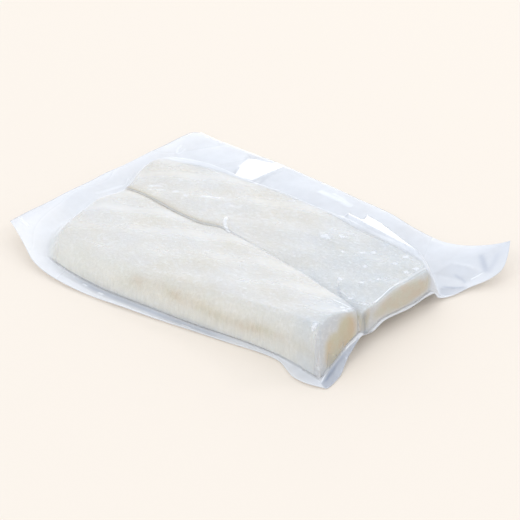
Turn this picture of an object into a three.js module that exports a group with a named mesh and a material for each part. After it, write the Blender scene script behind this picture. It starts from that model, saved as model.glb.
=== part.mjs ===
// Vacuum pouch holding two thick salt cod loins side by side, lying flat.
// Millimetres. +X runs along the loins to their cut ends, +Y from the near loin to the far
// loin, +Z up. The origin is the middle of the pouch's plan, on the surface it lies on.
import * as THREE from "three";

// ---- Driving dimensions ---------------------------------------------------------------
const pouchLength = 348;
const pouchWidth = 261;
const filmThickness = 0.9;           // both layers of the sealed margin, as one sheet

// How far in from its foot line the film takes to round over onto the loins.
const rounding = { nearSide: 9, cutEnd: 3.5, backEnd: 15, farTent: 17, squareness: 2.4 };
const farTentReach = 4;              // the tent's foot lies this far outside the far loin

const crease = { depth: 4, halfWidth: 4 };
const crown = { near: 3, far: 2.5 };
const unevenness = { height: 0.7, lengthX: 83, lengthY: 37 };

// The underside leaves the table towards the cut ends, from this station on.
const sledRise = { start: 60, power: 2.2 };

// The back edge stands up, most of all at the pouch's near corner.
const backRise = { nearEnd: 12, farEnd: 2.5, cornerReach: 44, middleReach: 13 };
const backCorner = { y: -104, width: 70 };

// The front far corner curls up to a tip.
const rightTip = { x: 163, y: 113, height: 21, reach: 62, power: 1.8 };

const ripple = { height: 1.1, base: 1.5, lengthX: 61, lengthY: 47, nearRun: 10, farRun: 20 };

// The loins bear on the table at four flat places, and stand just clear of it between them.
const bearingPlaces = [[-46, -78], [46, -82], [-104, 46], [46, 42]];
const bearing = { clearance: 0.6, flatRadius: 16, reach: 48 };

// Grid steps over each stretch of the plan, and how they crowd towards a foot line.
const stepsAlong = { back: 6, backWall: 5, body: 21, cutWall: 4, front: 3 };
const stepsAcross = { near: 3, nearWall: 5, nearTop: 8, crease: 2, farTop: 8, tent: 5, far: 6 };
const crowdToStart = 2;
const crowdToEnd = 0.5;
const crossingPasses = 12;

// ---- Plan lines: [x, y] where a line runs along, [y, x] where it runs across ------------
const nearEdge = curve([
  [-154, -104], [-123, -118], [-102, -127], [-70, -131], [-30, -129], [30, -120],
  [83, -110.5], [112, -105.5], [126, -106], [136, -110.5], [146, -115], [161, -115.5],
  [173, -111],
]);
const nearFoot = curve([
  [-175, -100], [-100, -113], [-45, -117], [0, -114], [45, -109], [90, -103],
  [120, -101.5], [145, -104], [175, -108],
]);
const creaseLine = curve([
  [-175, 4], [-130, 0], [-87, -8], [-36, -16], [-14, -13], [30, -20], [76, -30],
  [126, -45], [157, -58], [175, -64],
]);
const farFoot = curve([
  [-175, 72], [-148, 76], [-110, 79], [-60, 77], [0, 73], [40, 70], [80, 66], [110, 62],
  [136, 54], [155, 38], [175, 34],
]);
const farEdge = curve([
  [-175, 122], [-168, 127], [-82, 130], [-20, 126], [40, 121], [70, 114.5], [98, 110],
  [115, 111.5], [138, 114.5], [163, 113],
]);
const backEdge = curve([[-131, -150], [-104, -154], [118, -175], [126, -172], [131, -166]]);
const backFoot = curve([
  [-131, -88], [-114, -97], [-98, -114], [-75, -125], [-53, -131], [-14, -139], [0, -138],
  [8, -139], [21, -145], [37, -151], [51, -154], [62, -152], [79, -138], [131, -120],
]);
const cutFoot = curve([
  [-131, 168], [-106, 163], [-89, 159.5], [-75, 157.5], [-56, 156.5], [-46, 154.5],
  [-30, 154.5], [0, 155], [131, 155],
]);
const frontEdge = curve([
  [-116, 171], [-111, 173], [-102, 172], [-91, 169], [-82, 165], [-74, 161.5], [-67, 160],
  [-58, 159], [-50, 157], [-40, 156], [0, 157], [28, 157], [36, 156], [50, 160], [64, 163],
  [80, 170], [92, 172], [104, 168], [113, 163],
]);

// ---- Heights: [x, z] along the loins, [y, z] across the cut ends ------------------------
const nearShoulderHeight = curve([
  [-140, 9], [-110, 12], [-80, 16], [-40, 19], [-10, 21], [37, 25], [80, 28.5], [124, 33],
  [157, 38],
]);
const nearCreaseHeight = curve([
  [-140, 9], [-110, 12], [-72, 15], [-36, 18], [0, 21.5], [30, 23], [76, 25.5], [126, 29],
  [157, 33.5],
]);
const farCreaseHeight = curve([
  [-145, 10], [-110, 15], [-72, 18.5], [-36, 20.5], [0, 21.5], [30, 22], [76, 23],
  [126, 24.5], [155, 25.5],
]);
const farShoulderHeight = curve([
  [-155, 10], [-110, 15], [-70, 17.5], [-38, 18.5], [0, 20.5], [37, 22.5], [74, 23.5],
  [105, 24.5], [136, 26], [155, 26.5],
]);
const cutFootHeight = curve([
  [-131, 0], [-106, 0.5], [-89, 3], [-75, 7.5], [-69, 10.5], [-60, 13], [-55, 13.5],
  [-46, 7], [-38, 9], [-28, 12], [-10, 11], [11, 10], [28, 11], [42, 1], [60, 0], [131, 0],
]);
const frontEdgeHeight = curve([
  [-131, 0], [-91, 0.4], [-82, 2.5], [-74, 4], [-67, 7], [-58, 12], [-50, 10], [-40, 8],
  [-28, 11.5], [0, 10], [28, 10.5], [36, 3], [50, 0.8], [131, 0],
]);

// Smooth curve through points given as [station, value], held level beyond both ends.
function curve(points) {
  const last = points.length - 1;
  const slope = (i) => {
    const before = points[Math.max(i - 1, 0)];
    const after = points[Math.min(i + 1, last)];
    return (after[1] - before[1]) / (after[0] - before[0]);
  };
  return (station) => {
    if (station <= points[0][0]) return points[0][1];
    if (station >= points[last][0]) return points[last][1];
    const i = points.findIndex((point) => point[0] > station) - 1;
    const run = points[i + 1][0] - points[i][0];
    const rise = points[i + 1][1] - points[i][1];
    const t = (station - points[i][0]) / run;
    const startBend = slope(i) * run - rise;
    const endBend = rise - slope(i + 1) * run;
    return points[i][1] + t * rise + t * (1 - t) * mix(startBend, endBend, t);
  };
}

function mix(a, b, t) {
  return a + (b - a) * t;
}

function clamp01(t) {
  return Math.min(Math.max(t, 0), 1);
}

function smoothstep(t) {
  const c = clamp01(t);
  return c * c * (3 - 2 * c);
}

function wave(position, length) {
  return Math.sin((2 * Math.PI * position) / length);
}

// A low hill over 0 to 1, with its top, 1, in the middle.
function arch(t) {
  return 4 * t * (1 - t);
}

// Height fraction of a rounded wall at a distance in from its foot.
function wall(distance, run) {
  const t = clamp01(distance / run);
  return (1 - (1 - t) ** rounding.squareness) ** (1 / rounding.squareness);
}

// ---- Surfaces over the plan -------------------------------------------------------------
function raisedBackEdge(x, y) {
  const along = clamp01((y - backCorner.y) / (pouchWidth / 2 - backCorner.y));
  const fromCorner = smoothstep((y - backCorner.y) / backCorner.width);
  const reach = mix(backRise.cornerReach, backRise.middleReach, fromCorner);
  const inward = (x - backEdge(y)) / reach;
  return mix(backRise.nearEnd, backRise.farEnd, along) * Math.exp(-inward * inward);
}

function curledTip(x, y) {
  const distance = Math.hypot(x - rightTip.x, y - rightTip.y);
  return rightTip.height * clamp01(1 - distance / rightTip.reach) ** rightTip.power;
}

// The sled-like rise under the cut ends, and the narrow flap of film beyond them.
function raisedFront(x, y) {
  const cut = cutFoot(y);
  const inside = clamp01((x - sledRise.start) / (cut - sledRise.start));
  const beyond = clamp01((x - cut) / (frontEdge(y) - cut));
  return mix(cutFootHeight(y) * inside ** sledRise.power, frontEdgeHeight(y), beyond);
}

// Low waves in the sealed margins, none under the loins.
function marginRipple(x, y) {
  const outside = Math.max(
    smoothstep((nearFoot(x) - y) / ripple.nearRun),
    smoothstep((y - farFoot(x)) / ripple.farRun),
    smoothstep((backFoot(y) - x) / ripple.farRun),
  );
  const waves = wave(x, ripple.lengthX) + wave(y, ripple.lengthY);
  return outside * ripple.height * (ripple.base + waves / 2);
}

function betweenBearings(x, y) {
  const distances = bearingPlaces.map(([placeX, placeY]) => Math.hypot(x - placeX, y - placeY));
  const beyond = Math.min(...distances) - bearing.flatRadius;
  return bearing.clearance * smoothstep(beyond / (bearing.reach - bearing.flatRadius));
}

function underside(x, y) {
  const height = raisedBackEdge(x, y) + curledTip(x, y) + raisedFront(x, y);
  return Math.max(height, 0) + betweenBearings(x, y) + marginRipple(x, y);
}

// How much of the loins' height the film reaches at a point of the plan, from 0 to 1.
function fullness(x, y) {
  const nearSide = wall(y - nearFoot(x), rounding.nearSide);
  const farSide = smoothstep((farFoot(x) + farTentReach - y) / rounding.farTent);
  const cutEnd = wall(cutFoot(y) - x, rounding.cutEnd);
  const backEnd = wall(x - backFoot(y), rounding.backEnd);
  return nearSide * farSide * cutEnd * backEnd;
}

// The loins' upper surface as the film lies on it, with the groove between the two.
function loinTop(x, y) {
  const middle = creaseLine(x);
  const acrossNear = clamp01((y - nearFoot(x)) / (middle - nearFoot(x)));
  const acrossFar = clamp01((y - middle) / (farFoot(x) - middle));
  const nearTop = mix(nearShoulderHeight(x), nearCreaseHeight(x), acrossNear)
    + crown.near * arch(acrossNear);
  const farTop = mix(farCreaseHeight(x), farShoulderHeight(x), acrossFar)
    + crown.far * arch(acrossFar);
  const farPart = smoothstep((y - middle) / crease.halfWidth + 0.5);
  const groove = crease.depth * Math.max(1 - Math.abs(y - middle) / crease.halfWidth, 0);
  const uneven = wave(x, unevenness.lengthX) * wave(y, unevenness.lengthY);
  return mix(nearTop, farTop, farPart) - groove + unevenness.height * uneven;
}

function topside(x, y) {
  const sheet = underside(x, y) + filmThickness;
  return sheet + Math.max(loinTop(x, y) - sheet, 0) * fullness(x, y);
}

// ---- The net of plan points -------------------------------------------------------------
// A stretch is the set of steps from one plan line to the next.
function stretch(from, to, steps, crowding = 1) {
  const result = [];
  for (let i = 0; i < steps; i += 1) {
    result.push({ from, to, t: (i / steps) ** crowding });
  }
  return result;
}

function beside(line, distance) {
  return (station) => line(station) + distance;
}

function lastLine(line) {
  return { from: line, to: line, t: 0 };
}

const backTop = beside(backFoot, rounding.backEnd);
const cutTop = beside(cutFoot, -rounding.cutEnd);
const columns = [
  ...stretch(backEdge, backFoot, stepsAlong.back),
  ...stretch(backFoot, backTop, stepsAlong.backWall, crowdToStart),
  ...stretch(backTop, cutTop, stepsAlong.body),
  ...stretch(cutTop, cutFoot, stepsAlong.cutWall, crowdToEnd),
  ...stretch(cutFoot, frontEdge, stepsAlong.front),
  lastLine(frontEdge),
];

const nearTopLine = beside(nearFoot, rounding.nearSide);
const creaseNear = beside(creaseLine, -crease.halfWidth);
const creaseFar = beside(creaseLine, crease.halfWidth);
const tentFoot = beside(farFoot, farTentReach);
const tentTop = beside(farFoot, farTentReach - rounding.farTent);
const rows = [
  ...stretch(nearEdge, nearFoot, stepsAcross.near),
  ...stretch(nearFoot, nearTopLine, stepsAcross.nearWall, crowdToStart),
  ...stretch(nearTopLine, creaseNear, stepsAcross.nearTop),
  ...stretch(creaseNear, creaseLine, stepsAcross.crease),
  ...stretch(creaseLine, creaseFar, stepsAcross.crease),
  ...stretch(creaseFar, tentTop, stepsAcross.farTop),
  ...stretch(tentTop, tentFoot, stepsAcross.tent),
  ...stretch(tentFoot, farEdge, stepsAcross.far),
  lastLine(farEdge),
];

// Where a column and a row cross, found by repeated substitution.
function crossing(column, row) {
  let x = 0;
  let y = 0;
  for (let pass = 0; pass < crossingPasses; pass += 1) {
    x = mix(column.from(y), column.to(y), column.t);
    y = mix(row.from(x), row.to(x), row.t);
  }
  return [x, y];
}

// ---- The closed solid: an upper and a lower skin over one net, joined round the rim ------
function skinPoints() {
  const positions = [];
  for (const surface of [topside, underside]) {
    for (const column of columns) {
      for (const row of rows) {
        const [x, y] = crossing(column, row);
        positions.push(x, y, surface(x, y));
      }
    }
  }
  return positions;
}

// The net's outer points in order, once round.
function rimOrder() {
  const across = rows.length;
  const lastColumn = columns.length - 1;
  const rim = [];
  for (let i = 0; i < lastColumn; i += 1) {
    rim.push(i * across);
  }
  for (let j = 0; j < across - 1; j += 1) {
    rim.push(lastColumn * across + j);
  }
  for (let i = lastColumn; i > 0; i -= 1) {
    rim.push(i * across + across - 1);
  }
  for (let j = across - 1; j > 0; j -= 1) {
    rim.push(j);
  }
  return rim;
}

function pouchGeometry() {
  const across = rows.length;
  const lower = columns.length * across;
  const index = [];
  const quad = (a, b, c, d) => index.push(a, b, c, a, c, d);
  for (let i = 0; i + 1 < columns.length; i += 1) {
    for (let j = 0; j + 1 < across; j += 1) {
      const a = i * across + j;
      const b = a + across;
      quad(a, b, b + 1, a + 1);
      quad(lower + a, lower + a + 1, lower + b + 1, lower + b);
    }
  }
  const rim = rimOrder();
  rim.forEach((a, k) => {
    const b = rim[(k + 1) % rim.length];
    quad(a, lower + a, lower + b, b);
  });
  const geometry = new THREE.BufferGeometry();
  geometry.setAttribute("position", new THREE.Float32BufferAttribute(skinPoints(), 3));
  geometry.setIndex(index);
  return geometry;
}

// Centre the plan on the origin at its named size, with the lowest point on the table.
function fitToPlan(geometry) {
  geometry.computeBoundingBox();
  const box = geometry.boundingBox;
  const size = box.getSize(new THREE.Vector3());
  const centre = box.getCenter(new THREE.Vector3());
  geometry.translate(-centre.x, -centre.y, -box.min.z);
  geometry.scale(pouchLength / size.x, pouchWidth / size.y, 1);
  return geometry;
}

const packedCod = new THREE.MeshStandardMaterial({
  color: 0xe4e5e3,
  roughness: 0.25,
  metalness: 0,
});
const pouch = new THREE.Mesh(fitToPlan(pouchGeometry()), packedCod);
pouch.name = "vacuum_pouch";

const packed = new THREE.Group();
packed.add(pouch);

export default packed;
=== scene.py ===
"""Vacuum pouch with two thick salt cod loins: film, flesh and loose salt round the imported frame.

Shapes are worked out in millimetres, in the frame's own axes: +X along the loins towards their
cut ends, +Y from the near loin to the far loin, +Z up. Meshes are stored in metres.
"""
import math
from collections import namedtuple

import bpy
import numpy as np
from bpy.props import FloatProperty, FloatVectorProperty, IntProperty, StringProperty
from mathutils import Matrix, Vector


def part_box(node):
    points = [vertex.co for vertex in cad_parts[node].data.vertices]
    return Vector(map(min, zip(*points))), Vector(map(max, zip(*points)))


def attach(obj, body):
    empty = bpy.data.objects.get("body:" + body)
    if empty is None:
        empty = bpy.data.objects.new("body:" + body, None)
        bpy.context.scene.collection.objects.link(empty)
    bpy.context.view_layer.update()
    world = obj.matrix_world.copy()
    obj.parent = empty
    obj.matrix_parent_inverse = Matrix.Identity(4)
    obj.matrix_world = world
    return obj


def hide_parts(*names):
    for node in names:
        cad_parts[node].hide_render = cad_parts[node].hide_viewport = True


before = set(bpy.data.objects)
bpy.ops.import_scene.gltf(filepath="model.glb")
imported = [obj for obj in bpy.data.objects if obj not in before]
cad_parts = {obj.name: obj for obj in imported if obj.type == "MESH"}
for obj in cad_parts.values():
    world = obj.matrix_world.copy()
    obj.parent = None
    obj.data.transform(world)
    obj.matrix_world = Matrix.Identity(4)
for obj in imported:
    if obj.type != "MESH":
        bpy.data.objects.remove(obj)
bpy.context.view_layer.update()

bl_info = {
    "name": "Vacuum-packed salt cod",
    "version": (1, 0, 0),
    "blender": (4, 5, 0),
    "location": "3D View > Sidebar > Salt cod",
    "description": "Builds two salt cod loins in a clear vacuum pouch round a packed frame",
    "category": "Object",
}

MM = 0.001
# Each pattern's own number, added to the seed.
DRAWS = {"fine_wrinkles": 1, "broad_wrinkles": 2, "flakes": 3, "fibres": 4, "side_patches": 5,
         "shreds": 6, "core": 8, "hollows": 9, "margins": 11}
BODY = "root"
POUCH_NODE = "vacuum_pouch"


# ---- Small maths ------------------------------------------------------------------------
def mix(a, b, share):
    return a + (b - a) * share


def clamp01(value):
    return np.clip(value, 0.0, 1.0)


def smoothstep(value):
    c = clamp01(value)
    return c * c * (3 - 2 * c)


def ramp(value, start, run):
    """0 up to start, and a smooth rise to 1 over the run that follows."""
    return smoothstep((value - start) / run)


def wave(position, length):
    return np.sin(2 * np.pi * position / length)


def arch(share):
    """A low hill over 0 to 1, with its top, 1, in the middle."""
    return 4 * share * (1 - share)


def bell(distance, width):
    """1 at no distance, fading out over about two widths."""
    return np.exp(-((distance / width) ** 2))


def curve(points):
    """Smooth curve through (station, value) points, held level beyond both ends."""
    stations, values = np.array(points, float).T
    last = len(stations) - 1
    before = np.maximum(np.arange(last + 1) - 1, 0)
    after = np.minimum(np.arange(last + 1) + 1, last)
    slopes = (values[after] - values[before]) / (stations[after] - stations[before])

    def value_at(station):
        at = np.clip(station, stations[0], stations[-1])
        i = np.clip(np.searchsorted(stations, at, side="right") - 1, 0, last - 1)
        run = stations[i + 1] - stations[i]
        rise = values[i + 1] - values[i]
        t = (at - stations[i]) / run
        start_bend = slopes[i] * run - rise
        end_bend = rise - slopes[i + 1] * run
        return values[i] + t * rise + t * (1 - t) * mix(start_bend, end_bend, t)

    return value_at


def level(value):
    return lambda station: value


def beside(line, distance):
    return lambda station: line(station) + distance


def rounded_wall(distance, run, squareness):
    """Height share of a rounded wall at a distance in from its foot."""
    t = clamp01(distance / run)
    return (1 - (1 - t) ** squareness) ** (1 / squareness)


def inside_outline(x, y, corners):
    """Distance in from the nearest side of a convex outline whose corners run anticlockwise."""
    corners = np.array(corners, float)
    inside = np.full(np.shape(x), np.inf)
    for start, end in zip(corners, np.roll(corners, -1, axis=0)):
        side = (end - start) / np.hypot(*(end - start))
        inside = np.minimum(inside, (y - start[1]) * side[0] - (x - start[0]) * side[1])
    return inside


def within(x, y, corners, soft):
    """1 inside a convex outline, 0 outside it, over a blurred edge."""
    return smoothstep(inside_outline(x, y, corners) / soft + 0.5)


def fading_ends(along, parts):
    """1 along a route, fading out over its first and last part of so many."""
    return smoothstep(parts * along) * smoothstep(parts * (1 - along))


def lattice_noise(x, y, size_x, size_y, seed):
    """Smooth random hills from -1 to 1, about one to each size_x by size_y of the plan."""
    cells = 128
    table = np.random.default_rng(seed).uniform(-1, 1, (cells, cells))
    u = x / size_x
    v = y / size_y
    i = np.floor(u).astype(int)
    j = np.floor(v).astype(int)
    s = smoothstep(u - i)
    t = smoothstep(v - j)
    low = mix(table[i % cells, j % cells], table[(i + 1) % cells, j % cells], s)
    high = mix(table[i % cells, (j + 1) % cells], table[(i + 1) % cells, (j + 1) % cells], s)
    return mix(low, high, t)


# ---- Plan lines: (x, y) where a line runs along, (y, x) where it runs across ----------------
near_edge = curve([
    (-154, -104), (-123, -118), (-102, -127), (-70, -131), (-30, -129), (30, -120),
    (83, -110.5), (112, -105.5), (126, -106), (136, -110.5), (146, -115), (161, -115.5),
    (173, -111),
])
near_foot = curve([
    (-175, -100), (-100, -113), (-45, -117), (0, -114), (45, -109), (90, -103),
    (120, -101.5), (145, -104), (175, -108),
])
crease_line = curve([
    (-175, 4), (-130, 0), (-87, -8), (-36, -16), (-14, -13), (30, -20), (76, -30),
    (126, -45), (157, -58), (175, -64),
])
far_foot = curve([
    (-175, 72), (-148, 76), (-110, 79), (-60, 77), (0, 73), (40, 70), (80, 66), (110, 62),
    (136, 54), (155, 38), (175, 34),
])
far_edge = curve([
    (-175, 122), (-168, 127), (-82, 130), (-20, 126), (40, 121), (70, 114.5), (98, 110),
    (115, 111.5), (138, 114.5), (163, 113),
])
back_edge = curve([(-131, -150), (-104, -154), (118, -175), (126, -172), (131, -166)])
back_foot = curve([
    (-131, -96), (-114, -104), (-98, -119), (-75, -131), (-53, -138), (-28, -145), (-8, -144),
    (8, -145), (21, -152), (37, -158.5), (51, -160), (62, -158), (79, -148.5), (131, -124),
])
cut_foot = curve([
    (-131, 168), (-106, 163), (-89, 159.5), (-75, 157.5), (-56, 156.5), (-46, 154.5),
    (-30, 154.5), (0, 155), (131, 155),
])
front_edge = curve([
    (-116, 171), (-111, 173), (-102, 172), (-91, 169), (-82, 165), (-74, 161.5), (-67, 160),
    (-58, 159), (-50, 157), (-40, 156), (0, 157), (28, 157), (36, 156), (50, 160), (64, 163),
    (80, 170), (92, 172), (104, 168), (113, 163),
])

# Opposite corners of the film's outline as these lines draw it.
OUTLINE_LOW = np.array([-174.73, -131.07])
OUTLINE_HIGH = np.array([173.04, 130.03])

# The far loin's own far side, under the film's tent.
far_side = curve([
    (-175, 58), (-148, 63), (-110, 65), (-70, 68.5), (0, 67), (40, 64), (80, 60), (110, 56),
    (136, 48), (155, 32), (175, 28),
])

# ---- Heights: (x, z) along the loins, (y, z) across the cut ends ---------------------------
near_shoulder_height = curve([
    (-140, 9), (-110, 12), (-80, 16), (-40, 19), (-10, 21), (37, 25), (80, 28.5), (124, 33),
    (157, 38),
])
near_crease_height = curve([
    (-140, 9), (-110, 13.5), (-72, 16.8), (-36, 19.2), (0, 21.5), (30, 23), (76, 25.5),
    (126, 29), (157, 33.5),
])
far_crease_height = curve([
    (-145, 10), (-110, 15), (-72, 18.5), (-36, 20.5), (0, 21.5), (30, 22), (76, 23),
    (126, 24.5), (155, 25.5),
])
far_shoulder_height = curve([
    (-155, 10), (-110, 15), (-70, 17.5), (-38, 18.5), (0, 20.5), (37, 22.5), (74, 23.5),
    (105, 24.5), (136, 26), (155, 26.5),
])
cut_foot_height = curve([
    (-131, 0), (-106, 0.5), (-89, 3), (-75, 7.5), (-69, 10.5), (-60, 13), (-55, 13.5),
    (-46, 7), (-38, 9), (-28, 12), (-10, 11), (11, 10), (28, 11), (42, 1), (60, 0), (131, 0),
])
front_edge_height = curve([
    (-131, 0), (-91, 0.4), (-82, 2.5), (-74, 4), (-67, 7), (-58, 12), (-50, 10), (-40, 8),
    (-28, 11.5), (0, 10), (28, 10.5), (36, 3), (50, 0.8), (131, 0),
])
# The near loin's side rounds over further in towards its thin back end.
near_side_run = curve([(-150, 24), (-80, 21), (-20, 16.5), (60, 12), (150, 8.5)])
# How far in each cut end is rounded over: most at the near loin's free corner.
cut_run = curve([
    (-131, 9.5), (-88, 9), (-70, 6), (-55, 3.5), (-40, 3.5), (-10, 6.5), (10, 7.5), (30, 6),
    (45, 4), (131, 3.5),
])
# The far loin stands free of the film's own tent by more in the middle of its length.
tent_reach = curve([(-175, 4), (-20, 4), (30, 9), (75, 13), (110, 10), (140, 4), (175, 3)])
tent_run = curve([(-175, 17), (-20, 17), (30, 22), (75, 27), (110, 24), (140, 17), (175, 16)])

# ---- Folds in the film ------------------------------------------------------------------
# A route of points, a half-width, a height along the film's normal (less than nothing for a
# valley), and from 0 to 1 how milky the fold is and its painted shade over what lies under it.
# A fold's milk is partly the white of doubled film and partly a painted highlight.
# A route in the margins is (x, y) over the plan, and one on a steep wall is (x, y, z).
Fold = namedtuple("Fold", "route half_width height milk shade", defaults=(0, 0))
FOLDS = [
    # fold at the foot of the near loin's cut end with its white line a painted highlight, the
    # painted shadow behind it and the free edge above
    Fold([(168.5, -112.5, 0.8), (165.9, -108.5, 1.2), (162.4, -100.5, 1.9), (160.6, -94.2, 3.4),
          (159, -85.6, 6.6), (157.8, -74.8, 8.4)], 0.7, 0.5, 1.0),
    Fold([(157.8, -74.8, 8.4), (158, -69.2, 10.6), (158.3, -59.9, 13)], 0.7, 0.5, 1.0),
    Fold([(167.9, -107.5, 1), (164.6, -99.5, 1.6), (162.6, -93, 2.8), (161, -84.6, 5.5),
          (159.8, -74.8, 7.5)], 1.1, -0.2, 0, 0.4),
    Fold([(157.5, -96, 4), (157.6, -86, 5.5), (157.3, -76, 10)], 1.6, 0, 0, 0.3),
    Fold([(156.4, -52.7, 22.9), (157.1, -53.2, 14.8), (161.4, -69.6, 6.1)], 0.8, 0.3, 0.9),
    # the near loin's stretched corner, and the line where the margin leaves its foot
    Fold([(152.5, -98, 36), (154.5, -101.7, 32.7), (157, -104, 22), (158.5, -105.2, 13.8),
          (161, -107, 6)], 2.4, 0, 0.26),
    Fold([(113.9, -101.4, 0.6), (128.6, -102.6, 0.6), (149.4, -104.5, 0.8)], 1.1, 0.2, 0.7),
    # edges of the far loin's cut end, their white lines partly painted highlights
    Fold([(151.9, -38, 26.4), (150, -27.5, 27), (148.6, -15, 28.6), (147.8, 2, 28.3)],
         0.8, 0.5, 1.0),
    Fold([(148.2, -6, 28.3), (147, 12, 27.6), (147.6, 25, 28.2), (149.5, 38, 27)],
         2.0, 0.15, 0.45),
    Fold([(155.5, -45, 10), (156.4, -28, 9), (156.8, -9, 9.6), (155.5, 31, 11.7)],
         0.9, 0.3, 0.75),
    Fold([(155, 44, 22), (156, 44, 12), (156, 40, 5)], 1.2, 0.3, 0.7),
    # where the film is pinched between the loins: a white hook painted as a highlight, painted
    # shade along the pinch and painted shadow over the slit between the cut ends
    Fold([(-25, 2.5, 22.6), (-21.6, -1.3, 22.6), (-18.4, -6.2, 22.6), (-13.2, -11.5, 22.2),
          (-6.4, -14.8, 21.5), (-1, -17, 21.5)], 1.3, 0.5, 1.0),
    Fold([(108, -20), (115, -31), (128, -37), (138, -42)], 0.8, 0.25, 0.34),
    Fold([(112, -29), (126, -40), (143, -50)], 0.9, -0.3, 0, 0.3),
    Fold([(139.6, -41.7), (147, -40), (152.8, -38.8)], 0.8, 0.25, 0.5),
    Fold([(128, -56), (142, -58), (154, -60)], 1.0, 0.3, 0.35),
    Fold([(134, -38), (146, -50), (158, -60)], 6.0, 0, 0, 0.14),
    Fold([(151.5, -48, 26.8), (155.1, -48.4, 22.4), (155.6, -48.4, 17), (156, -49, 8)],
         3.4, 0, 0, 0.36),
    Fold([(132, -8), (126, -14), (124, -18)], 0.7, 0.15, 0.3),
    # folds from the far loin's corner into the curled tip: the dark V and dark lines in painted
    # shade, and white strokes painted as highlights
    Fold([(145, 100), (156, 90), (165.5, 82.5)], 2.1, -0.2, 0, 0.3),
    Fold([(160, 103), (163, 93), (164.5, 82)], 2.2, -0.2, 0, 0.14),
    Fold([(131.6, 85), (145, 85.5), (159.4, 83)], 1.3, 0.25, 0.78),
    Fold([(157, 70), (162.4, 83.6)], 1.4, 0.5, 1.0),
    Fold([(141, 72.5), (151, 70), (158.5, 66.5)], 1.2, -0.15, 0, 0.25),
    Fold([(143.5, 53.5), (154, 58.5), (160.3, 63.6)], 1.0, -0.2, 0, 0.4),
    Fold([(126, 62), (131.7, 60), (140, 52), (148, 42)], 1.6, 0.2, 0.75),
    # back margin and its two corners, with white marks that are partly painted highlights
    Fold([(-157, 83), (-161.5, 90), (-165.5, 100)], 1.0, 0.3, 1.0),
    Fold([(-157, 83), (-157, 91), (-160, 100)], 0.9, 0.2, 0.85),
    Fold([(-155, 82), (-143, 84), (-128, 84)], 2.2, 0.2, 0.8),
    Fold([(-165, 128), (-159, 124)], 1.8, 0.3, 0.95),
    Fold([(-157, -94), (-146, -97.5), (-136, -99.5)], 1.6, 0.15, 0.95),
    Fold([(-143, 10), (-146.8, 21.4), (-151, 31)], 1.1, 0.3, 0.85),
    Fold([(-149, 7), (-149, 17), (-156, 27)], 1.0, 0.2, 0.75),
    Fold([(-152, -22), (-150, 2), (-148, 20)], 3.6, 0, 0.72),
    Fold([(-150, 56), (-157, 62)], 1.6, 0.2, 0.7),
    Fold([(-113, -114), (-106, -106), (-104, -98)], 2.0, 0.2, 0.5),
    # far margin: soft white blotches painted as highlights
    Fold([(-34, 113), (-6, 112), (20, 108)], 6.5, 0, 0.97),
    Fold([(-20, 118), (-3, 115), (18, 106)], 3.6, 0.1, 0.95),
    # near margin: small white blotches painted as highlights, and a milky line
    Fold([(-57, -120.8), (-50, -121.5)], 1.8, 0.4, 0.9),
    Fold([(-39, -122), (-32, -123)], 2.0, 0.4, 1.0),
    Fold([(38, -115), (50, -114)], 1.3, 0.3, 0.85),
    Fold([(-90, -122), (-40, -126), (10, -122), (60, -113.5)], 1.0, 0.2, 0.6),
    # painted shadow in the gap where the film comes down from the near loin's side, and a milky
    # line at its foot that paints the dark line there lighter
    Fold([(x, near_foot(x) - 3, 0.8) for x in range(-80, 100, 10)], 3.2, 0, 0, 0.3),
    Fold([(x, near_foot(x) + 0.5, 2) for x in range(-118, 110, 12)], 1.8, 0, 0.28),
]

# A flat panel of slack film: its outline over the plan, anticlockwise, how milky it is, its
# painted shade, and how wide its blurred edge is. The milk and shade paint the light and shade
# that each panel takes.
Facet = namedtuple("Facet", "outline milk shade soft")
FACETS = [
    # the strip of film that stands up beyond the near loin's cut end, in painted shade
    Facet([(158.3, -60), (157.8, -75), (160.6, -94), (165.9, -108.5), (176, -114), (176, -86),
           (166, -62)], 0.42, 0.35, 1.6),
    # in the curled tip, painted darker and lighter: between the light ridge and the edge, and the
    # two panels below it
    Facet([(128, 66), (150, 68), (159, 70), (161, 82), (145, 85), (130, 84)], 0.64, 0.06, 4.0),
    Facet([(137, 63), (146.6, 54.5), (160, 64), (158, 68), (150, 67)], 0.74, 0.0, 3.0),
    Facet([(145, 52), (152, 42), (166, 56), (160.6, 63.4)], 0.58, 0.15, 3.0),
    # at the far back corner
    Facet([(-158, 84), (-120, 84), (-108, 100), (-150, 126), (-166, 122)], 0.64, 0.04, 4.0),
]

# The taut fold beyond the far loin's shoulder: flat leaves of film that lean away from the
# crease between start and end, and on this side of it a level apron, all anticlockwise.
TAUT_FOLD = {"start": (46, 65.2, 23.1), "end": (120.2, 49.6, 26.7), "lean": 0.13,
             "apron_lean": 0.06, "soft": 1.0, "flank": 9.0, "flank_power": 1.5}
LEAVES = [
    [(44.1, 64.5), (66.5, 60), (63.1, 64.4), (42.3, 68.4)],
    [(62, 60), (76.4, 56.5), (124.6, 47.6), (124.8, 48.6), (74.2, 71.2), (54.4, 76.2)],
]
APRON = [(48, 54), (60.7, 50.6), (95.1, 41.8), (127, 35), (126, 49), (44.8, 66)]

# Lumps of salt on the far loin and round the near loin's cut end, as (x, y, width).
SALT_LUMPS = [
    (59, 22, 7.0), (68, 30, 4.4), (101, 26, 4.4), (125, 35, 4.6), (126, 21, 3.4),
    (143, 24, 4.4), (140, 16, 3.4), (125, -16, 3.4), (132, -6, 3.0), (109, -21, 3.2),
    (133, -38, 3.6), (96, 20, 3.2), (112, 4, 2.4), (84, 12, 2.4), (151, -98, 4.4),
    (146, -62, 3.6), (151, -67, 3.4), (150, -61, 3.0), (144, -52, 3.2),
]

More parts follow.
